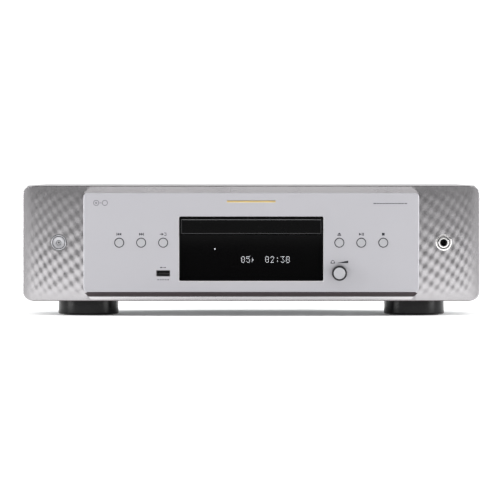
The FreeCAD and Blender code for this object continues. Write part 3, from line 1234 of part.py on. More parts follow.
def feet():
    """Four round feet, each with a ring pad below and one screw up through its well."""
    shells = []
    pads = []
    screws = []
    web = f"({FLOOR} - 5)"
    for at in foot_places():
        shells.append(turned("foot", "z", at, [
            ("foot_well", "pad_stands"), ("pad_inner", "pad_stands"), ("pad_inner", "pad_depth"),
            ("pad_outer", "pad_depth"), ("pad_outer", "pad_stands"),
            ("foot_radius - foot_edge", "pad_stands"),
            ("foot_radius - foot_edge * 0.3", "pad_stands + foot_edge * 0.3"),
            ("foot_radius", "pad_stands + foot_edge"), ("foot_radius - foot_draft", FLOOR),
            ("screw_shank", FLOOR), ("screw_shank", web), ("foot_well", web),
        ]))
        pads.append(turned("pad", "z", at, [
            ("pad_inner", "0"), ("pad_outer", "0"), ("pad_outer", "pad_depth"), ("pad_inner", "pad_depth"),
        ]))
        screws.append(turned("foot_screw", "z", at, [
            ("0", f"{web} - screw_head_high"), ("screw_head", f"{web} - screw_head_high"),
            ("screw_head", web),
            ("screw_shank", web), ("screw_shank", f"{web} + screw_length"), ("0", f"{web} + screw_length"),
        ]))
    piece("feet", fused("feet", shells))
    piece("foot_pads", fused("foot_pads", pads))
    piece("foot_screws", fused("foot_screws", screws))


def side_screw_places():
    """Height and place along the depth of the screws in each side."""
    return [(y, f"{FLOOR} + chassis_flange - screw_inset") for y in (f"{RIM_BACK} + side_screw_front",
                                                                     f"{REAR_FACE} - side_screw_back")]


def side_screw_holes(name):
    return [rod(name, "x", at, ends, "screw_shank + thread_gap") for at in side_screw_places()
            for ends in both_sides("case_half - 4 * cover_wall", "case_half + overlap")]


def cover_screws():
    """Screws through the cover's sides and heads along the rear panel's upper edge."""
    screws = []
    for at in side_screw_places():
        for head in both_sides("case_half", "case_half + screw_head_high"):
            screws.append(rod("side_screw_head", "x", at, head, "screw_head"))
        for shank in both_sides("case_half - screw_length", "case_half"):
            screws.append(rod("side_screw_shank", "x", at, shank, "screw_shank"))
    for x in ("-case_half + rear_screw_inset", "0", "case_half - rear_screw_inset"):
        z = "height - screw_inset"
        screws.append(rod("rear_screw", "y", (x, z), (REAR_FACE, f"{REAR_FACE} + screw_head_high"),
                          "screw_head"))
    return piece("cover_screws", fused("cover_screws", screws))


def board_spans():
    """X and Y spans of the power supply board on the left and the main board on the right."""
    inner = f"({REAR_FACE} - cover_wall)"
    supply = (("-case_half + board_inset", "-case_half + board_inset + supply_width"),
              (f"{inner} - supply_back - supply_depth", f"{inner} - supply_back"))
    main = (("case_half - board_inset - main_width", "case_half - board_inset"),
            (f"{inner} - main_back - main_depth", f"{inner} - main_back"))
    return supply, main


def board_posts():
    """Posts pressed up from the chassis under the corners of both boards."""
    posts = []
    for x, y in board_spans():
        for px in (f"{x[0]} + post_inset", f"{x[1]} - post_inset"):
            for py in (f"{y[0]} + post_inset", f"{y[1]} - post_inset"):
                posts.append(rod("post", "z", (px, py), (FLOOR, BOARD_LOW), "board_post"))
    return posts


def power_supply():
    """Transformer, supply board, reservoir capacitors and a finned heatsink."""
    (left, right), (front, back) = board_spans()[0]
    piece("power_supply_board", block("power_supply_board", (left, right), (front, back),
                                      (BOARD_LOW, BOARD_TOP)))
    cans = [rod("capacitor", "z", (f"{left} + 22 + {n} * (2 * capacitor_radius + 4)", f"{front} + 18"),
                (BOARD_TOP, f"{BOARD_TOP} + capacitor_height"), "capacitor_radius") for n in range(4)]
    piece("capacitors", fused("capacitors", cans))
    sink_y = f"({back} - 30)"
    sink_x = f"({left} + 20)"
    high = (BOARD_TOP, f"{BOARD_TOP} + fin_height")
    plates = [block("sink_back", (sink_x, f"{sink_x} + fin_span + fin_thick"),
                    (sink_y, f"{sink_y} + fin_thick"), high)]
    for n in range(int(sheet.fins)):
        edge = f"{sink_x} + {n} * fin_span / (fins - 1)"
        plates.append(block("fin", (edge, f"{edge} + fin_thick"), (sink_y, f"{sink_y} + fin_depth"), high))
    piece("heatsink", fused("heatsink", plates))
    transformer(f"({front} - winding_depth / 2 - 4)", f"({left} + 46)")


def transformer(y, x):
    """A laminated core with two windows and a winding around its middle leg."""
    middle_leg = "core_width / 4"
    core_z = (FLOOR_TOP, f"{FLOOR_TOP} + core_height")
    yoke = "core_height / 5"
    core = block("core_blank", (f"{x} - core_width / 2", f"{x} + core_width / 2"),
                 (f"{y} - core_depth / 2", f"{y} + core_depth / 2"), core_z)
    gaps = []
    for side in (-1, 1):
        at = f"{x} + {side} * {middle_leg}"
        gaps.append(block("core_window", (f"{at} - {middle_leg} / 2", f"{at} + {middle_leg} / 2"),
                          (f"{y} - core_depth", f"{y} + core_depth"),
                          (f"{core_z[0]} + {yoke}", f"{core_z[1]} - {yoke}")))
    coil_x = "(core_width * 3 / 8 - slide_gap)"
    coil = block("coil", (f"{x} - {coil_x}", f"{x} + {coil_x}"),
                 (f"{y} - winding_depth / 2", f"{y} + winding_depth / 2"),
                 (f"{core_z[0]} + {yoke} + slide_gap", f"{core_z[1]} - {yoke} - slide_gap"))
    leg = block("coil_way", (f"{x} - core_width / 8", f"{x} + core_width / 8"),
                (f"{y} - core_depth / 2 - slide_gap", f"{y} + core_depth / 2 + slide_gap"), core_z)
    both = doc.addObject("Part::Compound", "transformer")
    both.Links = [cut("core", core, gaps), cut("winding", coil, [leg])]
    piece("transformer", both)


def main_board():
    """The decoder and output board with its chips, relay and crystal can."""
    (left, right), (front, back) = board_spans()[1]
    parts = [block("board", (left, right), (front, back), (BOARD_LOW, BOARD_TOP))]
    for across, up, half, high in ((40, 40, 10, 3), (80, 46, 7, 3), (125, 60, 6, 4), (60, 95, 5, 9),
                                   (150, 100, 9, 12)):
        x = f"{left} + {across}"
        y = f"{front} + {up}"
        parts.append(block("chip", (f"{x} - {half}", f"{x} + {half}"), (f"{y} - {half}", f"{y} + {half}"),
                           (BOARD_TOP, f"{BOARD_TOP} + {high}")))
    piece("main_board", fused("main_board", parts))


def check_document():
    """Stop if any object failed or any sub-part has no valid shape."""
    doc.recompute()
    for item in doc.Objects:
        if "Invalid" in item.State or "Error" in item.State:
            raise RuntimeError(f"{item.Label} could not be made: {item.State}")
    for solid in PIECES:
        if solid.Shape.isNull() or not solid.Shape.isValid() or not solid.Shape.Solids:
            raise RuntimeError(f"{solid.Label} has no valid shape")


def write_parts():
    os.makedirs("parts", exist_ok=True)
    for solid in PIECES:
        solid.Shape.exportStep(f"parts/{solid.Label}.step")


front_panel()
front_plate()
display_window()
display_cell()
tray()
tray_gears()
loader_frame()
disc_clamp()
traverse()
front_boards()
keys()
level_control()
usb_socket()
headphone_socket()
case()
rear_sockets()
feet()
cover_screws()
power_supply()
main_board()
check_document()
write_parts()
print(f"{len(PIECES)} sub-parts")
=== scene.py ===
import json
import math

import bmesh
import bpy
from mathutils import Matrix, Vector


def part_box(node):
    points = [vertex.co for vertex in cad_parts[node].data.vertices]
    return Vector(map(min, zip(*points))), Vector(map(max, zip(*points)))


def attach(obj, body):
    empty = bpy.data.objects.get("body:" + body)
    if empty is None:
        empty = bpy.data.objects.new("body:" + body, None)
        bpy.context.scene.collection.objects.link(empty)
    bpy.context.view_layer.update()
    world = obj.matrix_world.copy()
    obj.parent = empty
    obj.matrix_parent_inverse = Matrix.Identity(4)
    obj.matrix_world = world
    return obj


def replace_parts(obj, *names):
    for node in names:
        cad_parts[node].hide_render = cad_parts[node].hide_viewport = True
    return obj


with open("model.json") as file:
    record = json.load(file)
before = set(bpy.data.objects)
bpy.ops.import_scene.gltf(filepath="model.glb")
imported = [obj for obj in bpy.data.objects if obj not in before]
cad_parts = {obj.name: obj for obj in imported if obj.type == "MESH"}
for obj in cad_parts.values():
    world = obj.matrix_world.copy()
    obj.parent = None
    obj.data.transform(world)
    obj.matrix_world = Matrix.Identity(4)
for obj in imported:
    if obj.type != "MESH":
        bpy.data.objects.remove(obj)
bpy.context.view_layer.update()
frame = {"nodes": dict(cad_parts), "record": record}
record = frame["record"]
mm = 0.001


# Front panel. One resin moulding, lacquered silver, that closes the front of the case. Its two
# wings carry a soft woven relief, two families of waves that cross, moulded into the skin. The
# strip above the centre plate slopes back towards the top edge.

def grained(name, colour, metallic, roughness, grain=900.0, depth=0.00002, spread=0.06,
            stretch=(1, 1, 1), tint=0.05, specular=0.5):
    """A finish with fine grain: it varies the colour and the roughness and lifts the surface."""
    material = bpy.data.materials.new(name)
    material.use_nodes = True
    nodes = material.node_tree.nodes
    link = material.node_tree.links.new
    shader = nodes["Principled BSDF"]
    shader.inputs["Metallic"].default_value = metallic
    shader.inputs["Specular IOR Level"].default_value = specular
    place = nodes.new("ShaderNodeTexCoord")
    turn = nodes.new("ShaderNodeMapping")
    turn.inputs["Scale"].default_value = stretch
    link(place.outputs["Object"], turn.inputs["Vector"])
    fine = nodes.new("ShaderNodeTexNoise")
    fine.inputs["Scale"].default_value = grain
    fine.inputs["Detail"].default_value = 3.0
    link(turn.outputs["Vector"], fine.inputs["Vector"])
    broad = nodes.new("ShaderNodeTexNoise")
    broad.inputs["Scale"].default_value = 14.0
    broad.inputs["Detail"].default_value = 2.0
    link(place.outputs["Object"], broad.inputs["Vector"])
    shade = nodes.new("ShaderNodeValToRGB")
    shade.color_ramp.elements[0].position = 0.3
    shade.color_ramp.elements[1].position = 0.7
    shade.color_ramp.elements[0].color = [c * (1 - tint) for c in colour] + [1]
    shade.color_ramp.elements[1].color = [min(1, c * (1 + tint)) for c in colour] + [1]
    both = nodes.new("ShaderNodeMath")
    both.operation = "MULTIPLY_ADD"
    both.inputs[1].default_value = 0.5
    link(fine.outputs["Fac"], both.inputs[0])
    half = nodes.new("ShaderNodeMath")
    half.operation = "MULTIPLY"
    half.inputs[1].default_value = 0.5
    link(broad.outputs["Fac"], half.inputs[0])
    link(half.outputs["Value"], both.inputs[2])
    link(both.outputs["Value"], shade.inputs["Fac"])
    link(shade.outputs["Color"], shader.inputs["Base Color"])
    rough = nodes.new("ShaderNodeMapRange")
    rough.inputs["From Min"].default_value = 0.3
    rough.inputs["From Max"].default_value = 0.7
    rough.inputs["To Min"].default_value = max(0.02, roughness - spread)
    rough.inputs["To Max"].default_value = roughness + spread
    link(both.outputs["Value"], rough.inputs["Value"])
    link(rough.outputs["Result"], shader.inputs["Roughness"])
    bump = nodes.new("ShaderNodeBump")
    bump.inputs["Distance"].default_value = depth
    bump.inputs["Strength"].default_value = 0.6
    link(fine.outputs["Fac"], bump.inputs["Height"])
    link(bump.outputs["Normal"], shader.inputs["Normal"])
    return material


def add_piece(bm, name, material, body, smooth=30.0):
    """Close a mesh into a piece that rides on a body; edges sharper than smooth degrees stay crisp."""
    mesh = bpy.data.meshes.new(name)
    bm.to_mesh(mesh)
    bm.free()
    mesh.materials.append(material)
    mesh.shade_smooth()
    mesh.set_sharp_from_angle(angle=math.radians(smooth))
    thing = bpy.data.objects.new(name, mesh)
    bpy.context.scene.collection.objects.link(thing)
    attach(thing, body)
    return thing


def body_holding(node):
    return next(name for name, nodes in record["behaviour"]["bodies"].items() if node in nodes)


def smooth_copy(node, material, smooth=30.0):
    """The node's own shape with its triangles joined, so that its curves shade smoothly."""
    bm = bmesh.new()
    bm.from_mesh(frame["nodes"][node].data)
    bmesh.ops.remove_doubles(bm, verts=bm.verts, dist=0.000002)
    bmesh.ops.dissolve_limit(bm, angle_limit=math.radians(0.4), verts=bm.verts, edges=bm.edges)
    thing = add_piece(bm, node + "_shape", material, body_holding(node), smooth)
    even = thing.modifiers.new("even_shading", "WEIGHTED_NORMAL")
    even.keep_sharp = True
    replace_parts(thing, node)
    return thing


silver_lacquer = grained("silver_lacquer", (0.385, 0.375, 0.385), 0.97, 0.28, grain=2600, depth=0.000004,
                         spread=0.03, tint=0.03)
smooth_copy("front_panel", silver_lacquer)

panel_low, panel_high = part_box("front_panel")
plate_low, plate_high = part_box("front_plate")
wing_face = panel_low.y
wave_height = 12.8 * mm
column_at_plate = 6.28 * mm
column_narrows = 0.0492
relief_depth = 0.33 * mm
panel_corner = 9.4 * mm
falling_step = 4.2 * mm
rising_step = 8.6 * mm
bow_height = 1.15 * mm
edge_margin = 1.5 * mm
skin_margin = 1.4 * mm
round_hole_x = 186 * mm
power_hole, jack_hole = 8.4 * mm, 6.6 * mm
key_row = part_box("power_key")[0].z / 2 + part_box("power_key")[1].z / 2


def ease(value):
    """Rises smoothly from 0 at 0 to 1 at 1."""
    value = min(1.0, max(0.0, value))
    return value * value * (3 - 2 * value)


def columns_out(distance):
    """How many columns of the weave lie between the centre plate and this distance outwards."""
    return -math.log(1 - column_narrows * distance / column_at_plate) / column_narrows


def corner_gap(x, z):
    """Distance inwards from the panel's rounded outline."""
    across = panel_high.x - abs(x)
    up = min(panel_high.z - z, z - panel_low.z)
    if across < panel_corner and up < panel_corner:
        return panel_corner - math.hypot(panel_corner - across, panel_corner - up)
    return min(across, up)


def wing_lift(x, z):
    """How far the woven skin stands out of the panel."""
    distance = max(0.0, abs(x) - plate_high.x)
    columns = columns_out(distance)
    drop = panel_high.z - z
    waves = math.cos(math.tau * (drop - falling_step * columns) / wave_height)
    waves += math.cos(math.tau * (drop + rising_step * columns) / wave_height)
    fade = ease((panel_high.x - abs(x) - edge_margin) / (16 * mm))
    fade *= ease((panel_high.z - z - 2 * mm) / (12 * mm)) * ease((z - panel_low.z - 2 * mm) / (12 * mm))
    fade *= 0.4 + 0.6 * ease((105 * mm - z) / (60 * mm))
    height_share = (z - panel_low.z) / (panel_high.z - panel_low.z) * 2 - 1
    bow = bow_height * (1 - height_share ** 2) * ease((panel_high.x - abs(x) - edge_margin) / (9 * mm))
    return bow + relief_depth * fade * (waves + 2) / 4 - 0.02 * mm


for side, wing in ((-1, "left_wing"), (1, "right_wing")):
    inner = plate_high.x - 3 * mm
    outer = panel_high.x - skin_margin
    skin = bmesh.new()
    bmesh.ops.create_grid(skin, x_segments=84, y_segments=150, size=1.0)
    middle = Vector(((inner + outer) / 2 * side, wing_face + 0.9 * mm, (panel_low.z + panel_high.z) / 2))
    spread = Matrix.Diagonal(((outer - inner) / 2, (panel_high.z - panel_low.z) / 2 - skin_margin, 1, 1))
    upright = Matrix.Rotation(math.radians(90), 4, "X")
    bmesh.ops.transform(skin, matrix=Matrix.Translation(middle) @ upright @ spread, verts=skin.verts)
    hole = power_hole if side < 0 else jack_hole
    outside = [v for v in skin.verts if corner_gap(v.co.x, v.co.z) < 1.35 * mm
               or math.hypot(abs(v.co.x) - round_hole_x, v.co.z - key_row) < hole]
    bmesh.ops.delete(skin, geom=outside, context="VERTS")
    raised = bmesh.ops.extrude_face_region(skin, geom=list(skin.faces))
    for vertex in (item for item in raised["geom"] if isinstance(item, bmesh.types.BMVert)):
        vertex.co.y = wing_face - wing_lift(vertex.co.x, vertex.co.z)
    bmesh.ops.recalc_face_normals(skin, faces=skin.faces)
    add_piece(skin, wing + "_weave", silver_lacquer, "cabinet", smooth=50)

slope = bmesh.new()
bmesh.ops.create_cube(slope, size=1.0)
for vertex in slope.verts:
    top = vertex.co.z > 0
    front = vertex.co.y < 0
    reach = plate_high.x - (7 * mm if top else 0)
    vertex.co.x = math.copysign(reach, vertex.co.x)
    vertex.co.z = panel_high.z - 0.9 * mm if top else plate_high.z - 0.3 * mm
    vertex.co.y = wing_face + 0.5 * mm
    if front:
        vertex.co.y = wing_face - (0.02 * mm if top else 2.9 * mm)
add_piece(slope, "upper_slope", silver_lacquer, "cabinet")

# This dark material is painted shade. It colours the strip where the centre plate's shadow falls below it,
# and thin lines along the panel's rounded top and bottom edges.
painted_shadow_dark = grained("painted_shadow_dark", (0.085, 0.07, 0.072), 0.5, 0.5, grain=2600, depth=0.000004)


def long_strip(name, material, sections):
    """A strip under the plate with mitred ends, from pairs of drop below the plate and stand-out."""
    bm = bmesh.new()
    rows = []
    for down, proud in sections:
        reach = plate_high.x - down * mm
        rows.append([bm.verts.new((x, wing_face - y * mm, plate_low.z - down * mm))
                     for x, y in ((-reach, proud), (reach, proud), (reach, -0.5), (-reach, -0.5))])
    for upper, lower in zip(rows, rows[1:]):
        for n in range(4):
            bm.faces.new((upper[n], upper[(n + 1) % 4], lower[(n + 1) % 4], lower[n]))
    bm.faces.new(rows[0])
    bm.faces.new(rows[-1])
    bmesh.ops.recalc_face_normals(bm, faces=bm.faces)
    add_piece(bm, name, material, "cabinet", smooth=25)


# The strip under the plate, in the dark material, is a painted shadow: it stands for the shadow the centre
# plate casts on the panel below it.
long_strip("lower_plate_shadow", painted_shadow_dark, ((-0.3, 0.02), (4.4, 1.5)))
# This lighter copy of the silver is a painted highlight. It brightens the lip under the plate's painted
# shadow and the window's bevel, where light catches them.
painted_highlight_edge = grained("painted_highlight_edge", (0.60, 0.59, 0.60), 0.9, 0.3, grain=2600, depth=0.000002)
long_strip("lower_lip_highlight", painted_highlight_edge, ((4.4, 1.52), (4.9, 1.75), (5.6, 1.5), (6.6, 0.7), (7.4, 0.02)))

# Thin dark lines along the panel's bottom and top edges are painted shade, standing for the dark of the
# rounded edges.
for name, low_z, high_z in (("lower_seam", panel_low.z + 0.05 * mm, panel_low.z + 0.95 * mm),
                            ("upper_seam", panel_high.z - 0.75 * mm, panel_high.z - 0.35 * mm)):
    shade_line = bmesh.new()
    bmesh.ops.create_cube(shade_line, size=1.0)
    for vertex in shade_line.verts:
        vertex.co.x = math.copysign(panel_high.x - panel_corner, vertex.co.x)
        vertex.co.y = wing_face + (0.1 * mm if vertex.co.y < 0 else 1.2 * mm)
        vertex.co.z = high_z if vertex.co.z > 0 else low_z
    add_piece(shade_line, name, painted_shadow_dark, "cabinet")


# Centre plate. A thick aluminium plate, clear anodised over a fine blasted grain; the window's bevel
# carries a painted highlight along its foot and sides. Its markings are pictograms printed in grey, and a
# slim gilt bar is let in above the window.

anodised = grained("clear_anodised", (0.40, 0.395, 0.42), 0.3, 0.42, grain=3400, depth=0.000003,
                   spread=0.03, tint=0.02)
smooth_copy("front_plate", anodised)
plate_face = plate_low.y
print_grey = grained("print_grey", (0.03, 0.03, 0.035), 0.0, 0.6, grain=5000, depth=0.000001, specular=0.1)


def flat_shape(bm, corners, face=plate_face, lift=0.02 * mm):
    """A thin flat shape on a front face, from its corners in X and Z, in millimetres: a printed mark, a
    painted highlight line or a display dot.
    """
    back = [bm.verts.new((x * mm, face + 0.01 * mm, z * mm)) for x, z in corners]
    shape = bm.faces.new(back)
    raised = bmesh.ops.extrude_face_region(bm, geom=[shape])
    for vertex in (item for item in raised["geom"] if isinstance(item, bmesh.types.BMVert)):
        vertex.co.y = face - lift


def bar(bm, x, z, width, height, **on):
    flat_shape(bm, [(x - width / 2, z - height / 2), (x + width / 2, z - height / 2),
                    (x + width / 2, z + height / 2), (x - width / 2, z + height / 2)], **on)


def wedge(bm, x, z, width, height, **on):
    """A triangle that points right, or left when its width is negative."""
    flat_shape(bm, [(x - width / 2, z - height / 2), (x + width / 2, z),
                    (x - width / 2, z + height / 2)], **on)


def ring(bm, x, z, radius, line, sides=32, **on):
    for n in range(sides):
        a, b = math.tau * n / sides, math.tau * (n + 1) / sides
        flat_shape(bm, [(x + r * math.cos(t), z + r * math.sin(t))
                        for r, t in ((radius, a), (radius, b), (radius - line, b), (radius - line, a))], **on)


marks = bmesh.new()
mark_z = 79.2
key_middle = {name: [(a + b) / 2 / mm for a, b in zip(*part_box(name))] for name in
              ("previous_key", "next_key", "input_key", "eject_key", "play_pause_key", "stop_key")}
x = key_middle["previous_key"][0]
bar(marks, x - 2.3, mark_z, 0.6, 2.8)
wedge(marks, x - 1.0, mark_z, -2.0, 2.8)
wedge(marks, x + 1.0, mark_z, -2.0, 2.8)
x = key_middle["next_key"][0]
bar(marks, x + 2.3, mark_z, 0.6, 2.8)
wedge(marks, x + 1.0, mark_z, 2.0, 2.8)
wedge(marks, x - 1.0, mark_z, 2.0, 2.8)
x = key_middle["input_key"][0]
wedge(marks, x - 0.4, mark_z, 2.2, 2.4)
bar(marks, x - 2.4, mark_z, 1.9, 0.6)
for end in (-1.2, 1.2):
    bar(marks, x + 1.9, mark_z + end, 1.8, 0.5)
bar(marks, x + 2.8, mark_z, 0.5, 2.9)
x = key_middle["eject_key"][0]
flat_shape(marks, [(x - 1.9, mark_z - 0.3), (x + 1.9, mark_z - 0.3), (x, mark_z + 1.5)])
bar(marks, x, mark_z - 1.1, 3.8, 0.7)
x = key_middle["play_pause_key"][0]
wedge(marks, x - 1.1, mark_z, 2.2, 2.8)
for along in (0.8, 2.1):
    bar(marks, x + along, mark_z, 0.7, 2.8)
x = key_middle["stop_key"][0]
bar(marks, x, mark_z, 2.6, 2.6)
knob_x = (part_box("level_knob")[0].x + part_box("level_knob")[1].x) / 2 / mm
headphone_x = knob_x - 6.4
ring(marks, headphone_x, 52.4, 1.7, 0.5, sides=24)
for end in (-1.6, 1.6):
    bar(marks, headphone_x + end, 51.6, 0.8, 1.5)
level_foot, level_head = 51.3, 53.7
flat_shape(marks, [(knob_x - 2.6, level_foot), (knob_x + 8.6, level_foot), (knob_x + 8.6, level_head)])
usb_x = (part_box("usb_shell")[0].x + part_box("usb_shell")[1].x) / 2 / mm
usb_mark_z = 47.0
bar(marks, usb_x, usb_mark_z, 3.2, 0.35)
wedge(marks, usb_x + 2.2, usb_mark_z, 1.3, 1.4)
ring(marks, usb_x - 2.1, usb_mark_z, 0.7, 0.7, sides=16)
dash_row_z = 35.2
for n in range(5):
    bar(marks, usb_x - 4.8 + 2.4 * n, dash_row_z, 1.5, 0.7)
emblem_left, emblem_right, emblem_z = -149.6, -141.2, 109.4
ring(marks, emblem_left, emblem_z, 2.7, 0.4)
ring(marks, emblem_left, emblem_z, 0.9, 0.4, sides=20)
ring(marks, emblem_right, emblem_z, 2.7, 0.4)
bar(marks, -145.4, emblem_z, 2.0, 0.4)
long_row_x, long_row_z = 119.2, 108.8
for n in range(11):
    bar(marks, long_row_x + 3.0 * n, long_row_z, 1.9 if n % 4 else 2.3, 0.9)
bmesh.ops.recalc_face_normals(marks, faces=marks.faces)
add_piece(marks, "printed_marks", print_grey, "cabinet")

half_window = 69.6
# The bright lines along the window's foot and sides are a painted highlight on its bevel.
window_highlight = bmesh.new()
edge_lift = 0.03 * mm
window_foot, window_middle, window_tall = 33.55, 65, 62
bar(window_highlight, 0, window_foot, 2 * half_window + 1, 0.7, lift=edge_lift)
for x in (-half_window - 0.4, half_window + 0.4):
    bar(window_highlight, x, window_middle, 0.6, window_tall, lift=edge_lift)
bmesh.ops.recalc_face_normals(window_highlight, faces=window_highlight.faces)
add_piece(window_highlight, "window_edge_highlight", painted_highlight_edge, "cabinet")

gilt = grained("gilt", (0.62, 0.47, 0.20), 0.9, 0.3, grain=3000, depth=0.000002)
inlay = bmesh.new()
bar(inlay, 0, 110.8, 47, 1.9, lift=0.12 * mm)
bmesh.ops.bevel(inlay, geom=[e for e in inlay.edges if max(v.co.y for v in e.verts) < plate_face],
                offset=0.08 * mm, segments=2, affect="EDGES", profile=0.5, material=-1)
bmesh.ops.recalc_face_normals(inlay, faces=inlay.faces)
add_piece(inlay, "gilt_bar", gilt, "cabinet")


# Window and display. A slab of gloss black acrylic set below the plate's face, with a sloped strip
# along its foot. The display's cell shines through it in white dots.

window_black = grained("window_black", (0.0015, 0.0015, 0.0016), 0.0, 0.10, grain=600, depth=0.000001,
                       spread=0.02, specular=0.08)
smooth_copy("display_window", window_black)
window_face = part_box("display_window")[1].y - 4.5 * mm
DIGITS = {
    "0": (".###.", "#...#", "#...#", "#.#.#", "#...#", "#...#", ".###."),
    "2": (".###.", "#...#", "....#", "...#.", "..#..", ".#...", "#####"),
    "3": ("#####", "...#.", "..#..", "...#.", "....#", "#...#", ".###."),
    "5": ("#####", "#....", "####.", "....#", "....#", "#...#", ".###."),
    ":": (".....", "..#..", "..#..", ".....", "..#..", "..#..", "....."),
    ">": ("#....", "##...", "###..", "####.", "###..", "##...", "#...."),
}
dot_across = 0.72
letter_step = 5.0
dot_up = 0.93


def dot_text(bm, text, x, z, scale=1.0):
    """Characters of five by seven dots, from their lower left corner."""
    for place, letter in enumerate(text):
        for row, dots in enumerate(reversed(DIGITS[letter])):
            for column, dot in enumerate(dots):
                if dot == "#":
                    bar(bm, x + (place * letter_step + (column + 0.5) * dot_across) * scale,
                        z + (row + 0.5) * dot_up * scale, 0.42 * dot_across * scale, 0.5 * dot_up * scale,
                        face=window_face)


lit = bpy.data.materials.new("display_light")
lit.use_nodes = True
glow = lit.node_tree.nodes["Principled BSDF"]
glow.inputs["Base Color"].default_value = (0.6, 0.62, 0.66, 1)
glow.inputs["Emission Color"].default_value = (0.9, 0.94, 1.0, 1)
glow.inputs["Emission Strength"].default_value = 1.25
digits = bmesh.new()
dot_text(digits, "05", -9.7, 51.4)
dot_text(digits, ">", 0.6, 52.2, scale=0.62)
dot_text(digits, "02:30", 13.5, 51.4)
ring(digits, -35.1, 64.9, 0.5, 0.3, sides=16, face=window_face)
bmesh.ops.recalc_face_normals(digits, faces=digits.faces)
add_piece(digits, "display_dots", lit, "cabinet")


# Drawer. The front is a gloss black cap with a fine bevel. Its light is painted on: a brighter painted
# highlight along the top of the bevel and dimmer painted ones along its foot and sides. The tray behind
# it is one black moulding with the seats for both sizes of disc.

gloss_black = grained("gloss_black", (0.0018, 0.0018, 0.0019), 0.0, 0.13, grain=700, depth=0.000001,
                      spread=0.02, specular=0.07)
smooth_copy("tray_front", gloss_black)
# A painted highlight: a lighter line along the top of the drawer front's bevel, where it faces the light.
edge_sheen = grained("edge_sheen", (0.17, 0.17, 0.175), 0.2, 0.4, grain=1500, depth=0.000001)
front_low, front_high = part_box("tray_front")
left, right = front_low.x / mm, front_high.x / mm
foot, head = front_low.z / mm, front_high.z / mm
top_highlight = bmesh.new()
bar(top_highlight, 0, head - 0.75, right - left - 1.4, 0.42, face=front_low.y)
bmesh.ops.recalc_face_normals(top_highlight, faces=top_highlight.faces)
add_piece(top_highlight, "drawer_top_highlight", edge_sheen, "tray")
# Dimmer painted highlights: lines along the foot and sides of the bevel, less bright than the top one.
edge_shade = grained("edge_shade", (0.05, 0.05, 0.052), 0.2, 0.4, grain=1500, depth=0.000001)
dim_highlights = bmesh.new()
bar(dim_highlights, 0, foot + 0.75, right - left - 1.4, 0.4, face=front_low.y)
for x in (left + 0.75, right - 0.75):
    bar(dim_highlights, x, (foot + head) / 2, 0.35, head - foot - 2.0, face=front_low.y)
bmesh.ops.recalc_face_normals(dim_highlights, faces=dim_highlights.faces)
add_piece(dim_highlights, "drawer_dim_highlights", edge_shade, "tray")
moulded_black = grained("moulded_black", (0.022, 0.022, 0.023), 0.0, 0.45, grain=1800, depth=0.00002)
smooth_copy("disc_tray", moulded_black)


# Keys. Six turned aluminium buttons, the power key with a dished face and a lamp window in its
# middle, and the level knob: a satin face let into a dark polished skirt. The black rings round the keys,
# the black in the power key's groove and the width of the knob's dark ring are painted shade for the
# gaps round them.

def turned_shape(profile, centre, steps=96):
    """A closed shape spun about an axis along Y; the profile gives radius and place along Y."""
    bm = bmesh.new()
    points = [bm.verts.new((centre[0] + radius, y, centre[1])) for radius, y in profile]
    edges = [bm.edges.new(pair) for pair in zip(points, points[1:])]
    bmesh.ops.spin(bm, geom=points + edges, cent=(centre[0], 0, centre[1]), axis=(0, 1, 0),
                   angle=math.tau, steps=steps, use_merge=True)
    bmesh.ops.remove_doubles(bm, verts=bm.verts, dist=0.000001)
    bmesh.ops.recalc_face_normals(bm, faces=bm.faces)
    return bm


def rounded(corner_r, corner_y, size, into, steps=5):
    """Points of a quarter round between a face and a side; into is the way along Y into the piece."""
    return [(corner_r - size + size * math.sin(a), corner_y + into * (size - size * math.cos(a)))
            for a in (math.pi / 2 * n / steps for n in range(steps + 1))]


satin_key = grained("satin_key", (0.41, 0.41, 0.43), 0.5, 0.34, grain=2600, depth=0.000003, spread=0.04)
# This black is partly real and partly painted shade. It is the black of the power key lamp's core and seat,
# and painted shade in the rings round the keys and in the power key's groove.
black_and_gap_shade = grained("black_and_gap_shade", (0.008, 0.008, 0.009), 0.0, 0.5, grain=2600, depth=0.000003,
                       specular=0.15)
key_radius = 3.95 * mm
key_short = 2 * mm
shadow_ring_bore = 4.02 * mm
shadow_ring_lip = 4.58 * mm
shadow_ring_radius = 4.75 * mm
shadow_ring_front = plate_face - 0.03 * mm
shadow_ring_back = plate_face + 1.5 * mm
for name in key_middle:
    low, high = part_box(name)
    middle = ((low.x + high.x) / 2, (low.z + high.z) / 2)
    profile = [(0, low.y), (key_radius - 0.8 * mm, low.y), (key_radius - 0.45 * mm, low.y)]
    profile += rounded(key_radius, low.y, 0.35 * mm, 1)
    profile += [(key_radius, high.y - key_short), (0, high.y - key_short)]
    cap = add_piece(turned_shape(profile, middle), name + "_cap", satin_key, name)
    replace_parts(cap, name)
    # Each key's black ring on the plate is a painted shadow, standing for the shaded gap between the key and
    # its hole.
    shadow_ring = [(shadow_ring_bore, shadow_ring_back), (shadow_ring_bore, shadow_ring_front), (shadow_ring_radius, shadow_ring_front),
              (shadow_ring_radius, plate_face + 0.02 * mm), (shadow_ring_lip, plate_face + 0.02 * mm),
              (shadow_ring_lip, shadow_ring_back), (shadow_ring_bore, shadow_ring_back)]
    add_piece(turned_shape(shadow_ring, middle), name + "_shadow_ring", black_and_gap_shade, "cabinet")

